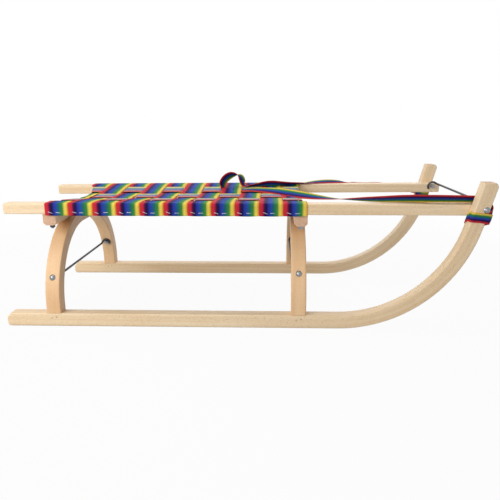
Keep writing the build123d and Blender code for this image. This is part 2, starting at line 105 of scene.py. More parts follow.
class Wiring:
    """Adds nodes to one shader tree and joins them."""

    def __init__(self, tree: bpy.types.NodeTree) -> None:
        """Keep the tree."""
        self.tree = tree

    def node(self, kind: str, inputs: dict | None = None, **settings: object) -> bpy.types.Node:
        """Add a node.

        Args:
            kind: Blender's name of the node type.
            inputs: input name or number, and the value or socket that goes into it.
            settings: attributes of the node.

        Returns:
            The new node.
        """
        made = self.tree.nodes.new(kind)
        for key, value in settings.items():
            setattr(made, key, value)
        for key, value in (inputs or {}).items():
            if isinstance(value, bpy.types.NodeSocket):
                self.tree.links.new(value, made.inputs[key])
            else:
                made.inputs[key].default_value = value
        return made

    def math(self, operation: str, first: object, second: object = 0.0, clamp: bool = False) -> Socket:
        """Add a math node and return its result."""
        made = self.node("ShaderNodeMath", {0: first, 1: second}, operation=operation, use_clamp=clamp)
        return made.outputs[0]

    def swing(self, value: Socket, share: object) -> Socket:
        """Let a value from zero to one swing about zero, by a share."""
        return self.math("MULTIPLY", self.math("SUBTRACT", value, 0.5), share)

    def total(self, *values: Socket) -> Socket:
        """Add up two or more values."""
        result = values[0]
        for value in values[1:]:
            result = self.math("ADD", result, value)
        return result

    def mix(self, share: object, first: object, second: object) -> Socket:
        """Add a colour mix and return its colour."""
        made = self.node("ShaderNodeMix", {0: share, 6: first, 7: second}, data_type="RGBA")
        return made.outputs[2]

    def ramp(self, value: object, low: float, high: float) -> Socket:
        """Ease a value from zero at low to one at high."""
        made = self.node(
            "ShaderNodeMapRange",
            {"Value": value, "From Min": low, "From Max": high},
            interpolation_type="SMOOTHSTEP",
        )
        return made.outputs["Result"]

    def noise(self, vector: Socket, noise: Noise) -> Socket:
        """Add stretched noise and return its value."""
        stretched = self.node("ShaderNodeVectorMath", {0: vector, 1: noise.scale}, operation="MULTIPLY")
        inputs = {"Vector": stretched.outputs[0], "Scale": 1.0, "Detail": noise.detail}
        return self.node("ShaderNodeTexNoise", inputs).outputs["Fac"]

    def group(self, tree: bpy.types.NodeTree, inputs: dict) -> bpy.types.Node:
        """Place a node group with its own values."""
        return self.node("ShaderNodeGroup", inputs, node_tree=tree)


KINDS = {"float": "NodeSocketFloat", "vector": "NodeSocketVector", "color": "NodeSocketColor"}


class EffectGroup:
    """A shader node group with named inputs and outputs."""

    def __init__(self, name: str, inputs: dict[str, str], outputs: dict[str, str]) -> None:
        """Open the group.

        Args:
            name: the group's name.
            inputs: name and kind of each input.
            outputs: name and kind of each output.
        """
        self.tree = bpy.data.node_groups.new(name, "ShaderNodeTree")
        for label, kind in inputs.items():
            self.tree.interface.new_socket(label, in_out="INPUT", socket_type=KINDS[kind])
        for label, kind in outputs.items():
            self.tree.interface.new_socket(label, in_out="OUTPUT", socket_type=KINDS[kind])
        self.wiring = Wiring(self.tree)
        self.given = self.wiring.node("NodeGroupInput").outputs
        self.result = self.wiring.node("NodeGroupOutput").inputs

    def give(self, label: str, socket: Socket) -> None:
        """Join a socket to one of the group's outputs."""
        self.tree.links.new(socket, self.result[label])


END_GRAIN_FACING = (0.72, 0.95)


def bent_bar_group() -> bpy.types.NodeTree:
    """Coordinates that run along a bar which is straight, then bent through an arc.

    Returns:
        A group whose Grain output has along, height and side in metres, and whose End output is
        one where the surface cuts across the bar.
    """
    inputs = {
        "Along": "float", "Height": "float", "Side": "float",
        "Normal Along": "float", "Normal Height": "float",
        "Bend Start": "float", "Bend Radius": "float", "Bend Angle": "float",
    }
    group = EffectGroup("Bent bar coordinates", inputs, {"Grain": "vector", "End": "float"})
    wiring = group.wiring
    given = group.given
    forward = wiring.math("SUBTRACT", given["Along"], given["Bend Start"])
    below = wiring.math("SUBTRACT", given["Bend Radius"], given["Height"])
    turn = wiring.math("ARCTAN2", forward, below)
    turn = wiring.math("MINIMUM", wiring.math("MAXIMUM", turn, 0.0), given["Bend Angle"])
    cosine = wiring.math("COSINE", turn)
    sine = wiring.math("SINE", turn)
    arc = wiring.math("MULTIPLY", turn, given["Bend Radius"])
    forward_run = wiring.math("MULTIPLY", forward, cosine)
    run = wiring.math("SUBTRACT", forward_run, wiring.math("MULTIPLY", below, sine))
    along = wiring.total(run, arc, given["Bend Start"])
    drop = wiring.total(wiring.math("MULTIPLY", forward, sine), wiring.math("MULTIPLY", below, cosine))
    height = wiring.math("SUBTRACT", given["Bend Radius"], drop)
    grain = wiring.node("ShaderNodeCombineXYZ", {0: along, 1: height, 2: given["Side"]})
    facing = wiring.total(
        wiring.math("MULTIPLY", given["Normal Along"], cosine),
        wiring.math("MULTIPLY", given["Normal Height"], sine),
    )
    group.give("Grain", grain.outputs[0])
    group.give("End", wiring.ramp(wiring.math("ABSOLUTE", facing), *END_GRAIN_FACING))
    return group.tree


@dataclass(frozen=True)
class BeechFigure:
    """Layers of beech, stretched along the bar, and how much each one shades the wood."""

    cloud: Noise = Noise((4.0, 22.0, 22.0), 2.0)
    cloud_share: float = 1.5
    streak: Noise = Noise((5.0, 190.0, 190.0), 4.0)
    streak_share: float = 1.3
    fibre: Noise = Noise((38.0, 1100.0, 1100.0), 2.0)
    fibre_share: float = 0.5
    ring_wander: Noise = Noise((1.6, 14.0, 14.0), 2.0)
    ring_wander_turn: float = 26.0
    ring_turn_up: float = 520.0
    ring_turn_side: float = 210.0
    ring_share: float = 0.34
    middle_shade: float = 0.42
    fleck: Noise = Noise((330.0, 1900.0, 1900.0), 1.0)
    fleck_limits: tuple[float, float] = (0.6, 0.7)
    fleck_colour: Colour = (150, 106, 66)
    pore: Noise = Noise((900.0, 900.0, 900.0), 1.0)
    pore_limits: tuple[float, float] = (0.45, 0.75)
    pore_colour: Colour = (176, 132, 100)
    roughness: float = 0.4
    fibre_roughness: float = 0.16
    end_roughness: float = 0.2
    fibre_relief: float = 0.7
    streak_relief: float = 0.3
    fleck_relief: float = 0.5


def wood_grain_group(figure: BeechFigure) -> bpy.types.NodeTree:
    """Beech: soft figure along the bar, fine fibres and short darker ray flecks.

    Args:
        figure: the layers' sizes and shares.

    Returns:
        A group with Color, Roughness and Height outputs.
    """
    inputs = {
        "Grain": "vector", "End": "float", "Seed": "float", "Figure": "float", "Flecks": "float",
        "Light": "color", "Dark": "color", "End Color": "color",
    }
    outputs = {"Color": "color", "Roughness": "float", "Height": "float"}
    group = EffectGroup("Wood grain", inputs, outputs)
    wiring = group.wiring
    given = group.given
    shift = wiring.node("ShaderNodeCombineXYZ", {axis: given["Seed"] for axis in range(3)})
    place = wiring.node("ShaderNodeVectorMath", {0: given["Grain"], 1: shift.outputs[0]}, operation="ADD")
    vector = place.outputs[0]
    cloud = wiring.noise(vector, figure.cloud)
    streak = wiring.noise(vector, figure.streak)
    fibre = wiring.noise(vector, figure.fibre)
    speck = wiring.noise(vector, figure.fleck)
    parts = wiring.node("ShaderNodeSeparateXYZ", {0: vector}).outputs
    ring_place = wiring.total(
        wiring.math("MULTIPLY", parts[1], figure.ring_turn_up),
        wiring.math("MULTIPLY", wiring.noise(vector, figure.ring_wander), figure.ring_wander_turn),
        wiring.math("MULTIPLY", parts[2], figure.ring_turn_side),
    )
    ring = wiring.math("MULTIPLY", wiring.math("ADD", wiring.math("SINE", ring_place), 1.0), 0.5)
    shade = wiring.total(
        wiring.swing(cloud, figure.cloud_share),
        wiring.swing(streak, figure.streak_share),
        wiring.swing(ring, figure.ring_share),
        wiring.swing(fibre, figure.fibre_share),
    )
    shade = wiring.math("MULTIPLY", shade, given["Figure"])
    shade = wiring.math("ADD", shade, figure.middle_shade, clamp=True)
    colour = wiring.mix(shade, given["Light"], given["Dark"])
    fleck = wiring.math("MULTIPLY", wiring.ramp(speck, *figure.fleck_limits), given["Flecks"])
    colour = wiring.mix(fleck, colour, srgb(*figure.fleck_colour))
    pore = wiring.ramp(wiring.noise(vector, figure.pore), *figure.pore_limits)
    end_colour = wiring.mix(pore, given["End Color"], srgb(*figure.pore_colour))
    group.give("Color", wiring.mix(given["End"], colour, end_colour))
    rough = wiring.math("ADD", wiring.math("MULTIPLY", fibre, figure.fibre_roughness), figure.roughness)
    end_rough = wiring.math("MULTIPLY", given["End"], figure.end_roughness)
    group.give("Roughness", wiring.total(rough, end_rough))
    pits = wiring.math("MULTIPLY", fleck, figure.fleck_relief)
    relief = wiring.math("SUBTRACT", wiring.math("MULTIPLY", fibre, figure.fibre_relief), pits)
    group.give("Height", wiring.total(relief, wiring.math("MULTIPLY", streak, figure.streak_relief)))
    return group.tree


WEAR_SAMPLES = 4
WEAR_FULL = 0.16
WEAR_PATCHES = Noise((60.0, 60.0, 60.0), 3.0)
WEAR_PATCH_LIMITS = (0.35, 0.65)


def edge_wear_group() -> bpy.types.NodeTree:
    """Corners rubbed by use: how far the surface there departs from its rounded neighbour.

    Returns:
        A group with a Wear output from zero to one.
    """
    inputs = {"Reach": "float", "Breakup": "float", "Place": "vector"}
    group = EffectGroup("Edge wear", inputs, {"Wear": "float"})
    wiring = group.wiring
    rounded = wiring.node("ShaderNodeBevel", {"Radius": group.given["Reach"]}, samples=WEAR_SAMPLES)
    surface = wiring.node("ShaderNodeNewGeometry")
    agree = wiring.node(
        "ShaderNodeVectorMath",
        {0: rounded.outputs[0], 1: surface.outputs["Normal"]},
        operation="DOT_PRODUCT",
    )
    bend = wiring.ramp(wiring.math("SUBTRACT", 1.0, agree.outputs["Value"]), 0.0, WEAR_FULL)
    patch = wiring.ramp(wiring.noise(group.given["Place"], WEAR_PATCHES), *WEAR_PATCH_LIMITS)
    kept = wiring.math("SUBTRACT", 1.0, wiring.math("MULTIPLY", patch, group.given["Breakup"]))
    group.give("Wear", wiring.math("MULTIPLY", bend, kept))
    return group.tree


@dataclass(frozen=True)
class Stripe:
    """One colour of the webbing and where across the strap it stands."""

    place: float
    colour: Colour


RAINBOW = (
    Stripe(0.00, (226, 92, 66)),
    Stripe(0.04, (218, 54, 58)),
    Stripe(0.16, (202, 40, 70)),
    Stripe(0.215, (100, 18, 76)),
    Stripe(0.26, (52, 12, 66)),
    Stripe(0.33, (26, 18, 84)),
    Stripe(0.38, (40, 52, 156)),
    Stripe(0.50, (44, 78, 184)),
    Stripe(0.57, (38, 96, 152)),
    Stripe(0.62, (32, 114, 110)),
    Stripe(0.69, (48, 136, 86)),
    Stripe(0.78, (82, 150, 62)),
    Stripe(0.83, (212, 210, 94)),
    Stripe(0.88, (252, 230, 100)),
    Stripe(0.95, (252, 210, 86)),
    Stripe(1.00, (240, 164, 60)),
)


# Pale grey toward which the lengthwise straps' colour is mixed: a painted sheen.
PAINTED_SHEEN_GREY = (196, 196, 200)
ROWS_PER_METRE = 420.0
ROW_SHIFT = 0.012
THREAD_TONE = Noise((90.0, 3.0, 1.0), 2.0)
PATCH_TONE = Noise((3.0, 26.0, 1.0), 3.0)


def stripes_group() -> bpy.types.NodeTree:
    """Rainbow stripes that run along the webbing, each woven thread a little lighter or darker.

    Returns:
        A group with a Color output.
    """
    inputs = {"Across": "float", "Along": "float", "Threads": "float", "Fade": "float"}
    group = EffectGroup("Webbing stripes", inputs, {"Color": "color"})
    wiring = group.wiring
    given = group.given
    row = wiring.math("FRACT", wiring.math("MULTIPLY", given["Along"], ROWS_PER_METRE))
    across = wiring.total(given["Across"], wiring.swing(row, ROW_SHIFT))
    threads = wiring.node("ShaderNodeValToRGB", {"Fac": across})
    ramp = threads.color_ramp
    for element, stripe in zip(ramp.elements, (RAINBOW[0], RAINBOW[-1])):
        element.position = stripe.place
        element.color = srgb(*stripe.colour)
    for stripe in RAINBOW[1:-1]:
        ramp.elements.new(stripe.place).color = srgb(*stripe.colour)
    place = wiring.node("ShaderNodeCombineXYZ", {0: given["Across"], 1: given["Along"]}).outputs[0]
    tones = [wiring.math("MULTIPLY", wiring.noise(place, tone), 0.5) for tone in (THREAD_TONE, PATCH_TONE)]
    bright = wiring.math("ADD", wiring.swing(wiring.total(*tones), given["Threads"]), 1.0)
    toned = wiring.node("ShaderNodeVectorMath", {0: threads.outputs[0], "Scale": bright}, operation="SCALE")
    # Painted sheen: the colour is paled toward grey by the given share.
    group.give("Color", wiring.mix(given["Fade"], toned.outputs[0], srgb(*PAINTED_SHEEN_GREY)))
    return group.tree


PILLOW_LIMITS = (0.1, 0.75)


def weave_group() -> bpy.types.NodeTree:
    """Relief of a tight plain weave: rows of small pillows, every other row set over by half.

    Returns:
        A group with Height and Shade outputs.
    """
    inputs = {"Across": "float", "Along": "float", "Width": "float", "Thread": "float", "Pick": "float"}
    group = EffectGroup("Weave relief", inputs, {"Height": "float", "Shade": "float"})
    wiring = group.wiring
    given = group.given
    row = wiring.math("DIVIDE", given["Along"], given["Pick"])
    odd = wiring.math("MODULO", wiring.math("FLOOR", row), 2.0)
    column = wiring.math("DIVIDE", wiring.math("MULTIPLY", given["Across"], given["Width"]), given["Thread"])
    column = wiring.math("ADD", column, wiring.math("MULTIPLY", odd, 0.5))
    hump_along = wiring.math("SINE", wiring.math("MULTIPLY", wiring.math("FRACT", row), math.pi))
    hump_across = wiring.math("ABSOLUTE", wiring.math("SINE", wiring.math("MULTIPLY", column, math.pi)))
    pillow = wiring.math("SQRT", wiring.math("MULTIPLY", hump_along, hump_across))
    group.give("Height", pillow)
    group.give("Shade", wiring.ramp(pillow, *PILLOW_LIMITS))
    return group.tree


class Effects:
    """The shader node groups, each built once."""

    def __init__(self) -> None:
        """Build every group."""
        self.bent_bar = bent_bar_group()
        self.wood_grain = wood_grain_group(BeechFigure())
        self.edge_wear = edge_wear_group()
        self.stripes = stripes_group()
        self.weave = weave_group()


def new_material(name: str) -> tuple[bpy.types.Material, Wiring, bpy.types.Node]:
    """Open a node material.

    Args:
        name: the material's name.

    Returns:
        The material, the wiring of its tree and its surface shader.
    """
    material = bpy.data.materials.new(name)
    material.use_nodes = True
    tree = material.node_tree
    return material, Wiring(tree), tree.nodes["Principled BSDF"]


def join_surface(
    wiring: Wiring,
    shader: bpy.types.Node,
    colour: Socket,
    roughness: Socket,
    height: Socket,
    relief: tuple[float, float],
) -> None:
    """Feed a surface shader its colour, roughness and relief.

    Args:
        wiring: the wiring of the material's tree.
        shader: the surface shader.
        colour: what feeds its colour.
        roughness: what feeds its roughness.
        height: what feeds the relief.
        relief: the relief's strength and depth.
    """
    bump = wiring.node("ShaderNodeBump", {"Height": height, "Strength": relief[0], "Distance": relief[1]})
    wiring.tree.links.new(colour, shader.inputs["Base Color"])
    wiring.tree.links.new(roughness, shader.inputs["Roughness"])
    wiring.tree.links.new(bump.outputs[0], shader.inputs["Normal"])


class Axis(Enum):
    """The frame's axes by their place in a coordinate."""

    X = 0
    Y = 1
    Z = 2


@dataclass(frozen=True)
class Bend:
    """Where a bar starts to bend, and its arc. A straight bar has no angle."""

    start: float = 0.0
    radius: float = 1.0
    angle: float = 0.0


@dataclass(frozen=True)
class BeechFinish:
    """Clear-oiled beech on one bar, its grain along the bar and round its bend."""

    name: str
    along: Axis
    seed: float
    bend: Bend = Bend()
    crown: float | None = None
    light: Colour = (251, 231, 199)
    dark: Colour = (233, 200, 157)
    end: Colour = (228, 190, 162)
    rubbed: Colour = (196, 150, 104)
    rub_share: float = 0.3
    rub_reach: float = 0.0022
    rub_breakup: float = 0.6
    rub_gloss: float = 0.1
    figure: float = 0.7
    flecks: float = 0.5
    relief: float = 0.25
    relief_depth: float = 0.0003
    oil: float = 0.12
    oil_roughness: float = 0.35

    def material(self, effects: Effects) -> bpy.types.Material:
        """Make the bar's material.

        Args:
            effects: the shared node groups.

        Returns:
            The material.
        """
        material, wiring, shader = new_material(self.name)
        place = wiring.node("ShaderNodeTexCoord")
        point = wiring.node("ShaderNodeSeparateXYZ", {0: place.outputs["Object"]}).outputs
        normal = wiring.node("ShaderNodeSeparateXYZ", {0: place.outputs["Normal"]}).outputs
        across = Axis.Y if self.along is Axis.X else Axis.X
        along = point[self.along.value]
        height = point[Axis.Z.value]
        normal_along = normal[self.along.value]
        normal_height = normal[Axis.Z.value]
        if self.crown is not None:
            way = wiring.math("SIGN", along)
            along = wiring.math("ABSOLUTE", along)
            height = wiring.math("SUBTRACT", self.crown, height)
            normal_along = wiring.math("MULTIPLY", normal_along, way)
            normal_height = wiring.math("MULTIPLY", normal_height, -1.0)
        bar = wiring.group(
            effects.bent_bar,
            {
                "Along": along, "Height": height, "Side": point[across.value],
                "Normal Along": normal_along, "Normal Height": normal_height,
                "Bend Start": self.bend.start, "Bend Radius": self.bend.radius, "Bend Angle": self.bend.angle,
            },
        ).outputs
        grain = bar["Grain"]
        if self.crown is not None:
            mirror = wiring.node("ShaderNodeCombineXYZ", {0: way, 1: 1.0, 2: 1.0}).outputs[0]
            turned = wiring.node("ShaderNodeVectorMath", {0: grain, 1: mirror}, operation="MULTIPLY")
            grain = turned.outputs[0]
        wood = wiring.group(
            effects.wood_grain,
            {
                "Grain": grain, "End": bar["End"], "Seed": self.seed, "Figure": self.figure,
                "Flecks": self.flecks, "Light": srgb(*self.light), "Dark": srgb(*self.dark),
                "End Color": srgb(*self.end),
            },
        ).outputs
        wear = wiring.group(
            effects.edge_wear,
            {"Reach": self.rub_reach, "Breakup": self.rub_breakup, "Place": place.outputs["Object"]},
        ).outputs["Wear"]
        rub = wiring.math("MULTIPLY", wear, self.rub_share)
        colour = wiring.mix(rub, wood["Color"], srgb(*self.rubbed))
        rough = wiring.math("SUBTRACT", wood["Roughness"], wiring.math("MULTIPLY", wear, self.rub_gloss))
        join_surface(wiring, shader, colour, rough, wood["Height"], (self.relief, self.relief_depth))
        shader.inputs["Coat Weight"].default_value = self.oil
        shader.inputs["Coat Roughness"].default_value = self.oil_roughness
        return material


@dataclass(frozen=True)
class WebbingFinish:
    """Woven rainbow webbing. Its U runs across from red to yellow and its V along in metres."""

    name: str
    width: float
    sheen: float = 0.0
    shine: float = 0.12
    # Painted sheen: share by which the colour is paled toward grey, standing in for a grazing sheen.
    painted_sheen: float = 0.0
    # Painted shade: an even share by which the whole cloth's colour is darkened toward near black.
    shade: float = 0.0
    thread: float = 0.0011
    pick: float = 0.0016
    thread_tones: float = 0.8
    # Painted shade in the weave's hollows: its share and the near-black colour mixed in there.
    crevice_shade_share: float = 0.30
    crevice_shade_colour: tuple[float, float, float, float] = (0.012, 0.01, 0.02, 1.0)
    roughness: float = 0.72
    pillow_gloss: float = 0.12
    relief: float = 0.5
    relief_depth: float = 0.0003
    sheen_roughness: float = 0.4

    def material(self, effects: Effects) -> bpy.types.Material:
        """Make the webbing's material.

        Args:
            effects: the shared node groups.

        Returns:
            The material.
        """
        material, wiring, shader = new_material(self.name)
        strap = wiring.node("ShaderNodeUVMap", uv_map="strap")
        place = wiring.node("ShaderNodeSeparateXYZ", {0: strap.outputs[0]}).outputs
        stripes = wiring.group(
            effects.stripes,
            {"Across": place[0], "Along": place[1], "Threads": self.thread_tones, "Fade": self.painted_sheen},
        ).outputs
        weave = wiring.group(
            effects.weave,
            {
                "Across": place[0], "Along": place[1], "Width": self.width,
                "Thread": self.thread, "Pick": self.pick,
            },
        ).outputs
        # Painted shade: the colour is mixed toward near black in the hollows between the weave's pillows.
        painted_crevice_shade = wiring.math("MULTIPLY", wiring.math("SUBTRACT", 1.0, weave["Shade"]), self.crevice_shade_share)
        # Painted shade: the colour is also darkened toward near black by shade, evenly over the whole strap.
        colour = wiring.mix(wiring.math("ADD", painted_crevice_shade, self.shade), stripes["Color"], self.crevice_shade_colour)
        gloss = wiring.math("MULTIPLY", weave["Shade"], self.pillow_gloss)
        rough = wiring.math("SUBTRACT", self.roughness, gloss)
        join_surface(wiring, shader, colour, rough, weave["Height"], (self.relief, self.relief_depth))
        shader.inputs["Sheen Weight"].default_value = self.sheen
        shader.inputs["Sheen Roughness"].default_value = self.sheen_roughness
        shader.inputs["Specular IOR Level"].default_value = self.shine
        return material


@dataclass(frozen=True)
class SteelFinish:
    """Plated or blackened steel with faint brushing and a few rubbed spots."""

    name: str
    colour: Colour
    worn: Colour
    metallic: float
    roughness: float
    haze: Noise = Noise((160.0, 160.0, 160.0), 3.0)
    haze_roughness: float = 0.16
    spot_limits: tuple[float, float] = (0.55, 0.75)
    spot_share: float = 0.35
    brushing: Noise = Noise((2600.0, 700.0, 2600.0), 2.0)
    brush_relief: float = 0.12
    brush_depth: float = 0.0001
    rub_share: float = 0.6
    rub_reach: float = 0.0007
    rub_breakup: float = 0.8

    def material(self, effects: Effects) -> bpy.types.Material:
        """Make the steel's material.

        Args:
            effects: the shared node groups.

        Returns:
            The material.
        """
        material, wiring, shader = new_material(self.name)
        place = wiring.node("ShaderNodeTexCoord").outputs["Object"]
        haze = wiring.noise(place, self.haze)
        wear = wiring.group(
            effects.edge_wear,
            {"Reach": self.rub_reach, "Breakup": self.rub_breakup, "Place": place},
        ).outputs["Wear"]
        spots = wiring.math("MULTIPLY", wiring.ramp(haze, *self.spot_limits), self.spot_share)
        rubbed = wiring.math("MAXIMUM", spots, wiring.math("MULTIPLY", wear, self.rub_share))
        colour = wiring.mix(rubbed, srgb(*self.colour), srgb(*self.worn))
        rough = wiring.math("ADD", wiring.math("MULTIPLY", haze, self.haze_roughness), self.roughness)
        brushing = wiring.noise(place, self.brushing)
        join_surface(wiring, shader, colour, rough, brushing, (self.brush_relief, self.brush_depth))
        shader.inputs["Metallic"].default_value = self.metallic
        return material


def place_object(name: str, data: bpy.types.ID) -> bpy.types.Object:
    """Put a mesh, lamp or camera into the scene."""
    placed = bpy.data.objects.new(name, data)
    bpy.context.scene.collection.objects.link(placed)
    return placed


def show_piece(name: str, mesh: bpy.types.Mesh, material: bpy.types.Material) -> bpy.types.Object:
    """Put a finished mesh into the scene as a piece of the sled.

    Args:
        name: the piece's name.
        mesh: its mesh.
        material: its finish.

    Returns:
        The piece.
    """
    mesh.materials.append(material)
    piece = place_object(name, mesh)
    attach(piece, "root")
    return piece


def round_faces(base: int, rings: int, steps: int, left_turned: bool) -> list[tuple[int, ...]]:
    """Faces of a round body whose vertices stand in rings, with a cap at each end.

    Args:
        base: number of its first vertex.
        rings: how many rings it has.
        steps: vertices in each ring.
        left_turned: whether the rings turn so that these faces look outward as they are.

    Returns:
        The vertex numbers of each face.
    """
    faces = [
        tuple(range(base + steps - 1, base - 1, -1)),
        tuple(range(base + (rings - 1) * steps, base + rings * steps)),
    ]
    for first in range(base, base + (rings - 1) * steps, steps):
        for step in range(steps):
            beside = (step + 1) % steps
            faces.append((first + step, first + beside, first + steps + beside, first + steps + step))
    return faces if left_turned else [corners[::-1] for corners in faces]


def smooth_mesh(name: str, vertices: list[tuple], faces: list[tuple]) -> bpy.types.Mesh:
    """Make a smoothly shaded mesh."""
    mesh = bpy.data.meshes.new(name)
    mesh.from_pydata(vertices, [], faces)
    mesh.shade_smooth()
    return mesh


@dataclass
class Band:
    """Flat woven tape with rounded edges, built on a grid of points in its middle surface."""

    thickness: float
    edge_steps: int = 3
    inner_columns: int = 9

    def columns(self, width: float) -> np.ndarray:
        """Places of the columns across the tape, closer together at its rounded edges.

        Args:
            width: the tape's width.

        Returns:
            Rising shares of the width from zero to one.
        """
        turns = np.linspace(0, math.pi / 2, self.edge_steps + 1)
        edge = self.thickness / 2 * (1 - np.cos(turns)) / width
        middle = np.linspace(edge[-1], 1 - edge[-1], self.inner_columns + 2)[1:-1]
        return np.concatenate([edge, middle, 1 - edge[::-1]])

    def swelling(self) -> np.ndarray:
        """Half of the tape's thickness at each column."""
        edge = self.thickness / 2 * np.sin(np.linspace(0, math.pi / 2, self.edge_steps + 1))
        middle = np.full(self.inner_columns, self.thickness / 2)
        return np.concatenate([edge, middle, edge[::-1]])

    def skin(self, grid: np.ndarray, ring: bool) -> np.ndarray:
        """Loops round the tape, over its upper side and back under its lower side.

        Args:
            grid: points of the middle surface, rows along the tape and columns across it.
            ring: whether the last row joins the first.

        Returns:
            One loop of points for each row.
        """
        along = np.gradient(grid, axis=0)
        if ring:
            along = np.roll(grid, -1, axis=0) - np.roll(grid, 1, axis=0)
        normal = np.cross(along, np.gradient(grid, axis=1))
        normal /= np.maximum(np.linalg.norm(normal, axis=2, keepdims=True), 1e-12)
        swelling = self.swelling()[None, :, None]
        lower = (grid - normal * swelling)[:, 1:-1][:, ::-1]
        return np.concatenate([grid + normal * swelling, lower], axis=1)

    @staticmethod
    def end_corners(columns: int, size: int) -> list[list[int]]:
        """Faces that close one end of the tape, as places in the loop round it."""
        ends = []
        for column in range(columns - 1):
            corners = (column, column + 1, size - column - 1, (size - column) % size)
            ends.append(list(dict.fromkeys(corners)))
        return ends

    def mesh(self, name: str, grid: np.ndarray, width: float, ring: bool = False) -> bpy.types.Mesh:
        """Close the tape round its middle surface.

        Args:
            name: the mesh's name.
            grid: points of the middle surface, rows along the tape and columns across it.
            width: the tape's width, for its stripes.
            ring: whether the last row joins the first.

        Returns:
            The mesh, with a UV map of share across and metres along.
        """
        rows, columns, _ = grid.shape
        loops = self.skin(grid, ring)
        size = loops.shape[1]
        shares = self.columns(width)
        share_loop = np.concatenate([shares, shares[1:-1][::-1]])
        middle = grid[:, columns // 2]
        steps = np.linalg.norm(np.roll(middle, -1, axis=0) - middle, axis=1)
        lengths = np.concatenate([[0.0], np.cumsum(steps)])
        faces = []
        uvs = []
        for row in range(rows if ring else rows - 1):
            start, ahead = row * size, (row + 1) % rows * size
            low, high = lengths[row], lengths[row + 1]
            for column in range(size):
                beside = (column + 1) % size
                left, right = share_loop[column], share_loop[beside]
                faces.append((start + column, ahead + column, ahead + beside, start + beside))
                uvs += [(left, low), (left, high), (right, high), (right, low)]
        for row in () if ring else (0, rows - 1):
            for corners in self.end_corners(columns, size):
                turned = corners[::-1] if row else corners
                faces.append(tuple(row * size + corner for corner in turned))
                uvs += [(share_loop[corner], lengths[row]) for corner in turned]
        made = smooth_mesh(name, [tuple(point) for point in loops.reshape(-1, 3)], faces)
        layer = made.uv_layers.new(name="strap")
        layer.data.foreach_set("uv", np.asarray(uvs, dtype=np.float32).reshape(-1))
        made.update()
        return made


@dataclass
class Rails:
    """The two seat rails, read from the frame: they stand a little wider apart at the horns."""

    width: float = 0.030
    edge_round: float = 0.003
    rear: float = field(init=False)
    top: float = field(init=False)
    bottom: float = field(init=False)
    rear_outer: float = field(init=False)
    toe_out: float = field(init=False)

    def __post_init__(self) -> None:
        """Read the left rail's box."""
        low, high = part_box("rail_left")
        self.rear = low.x
        self.top = high.z
        self.bottom = low.z
        self.rear_outer = low.y + self.width
        self.toe_out = (high.y - self.rear_outer) / (high.x - low.x)

    def outer(self, x: float) -> float:
        """Distance of the rail's outer face from the middle."""
        return self.rear_outer + (x - self.rear) * self.toe_out

    def inner(self, x: float) -> float:
        """Distance of the rail's inner face from the middle."""
        return self.outer(x) - self.width


def arched(share: float) -> float:
    """Rise from nothing at zero to one at a half, and fall to nothing at one."""
    return 1 - (2 * share - 1) ** 2


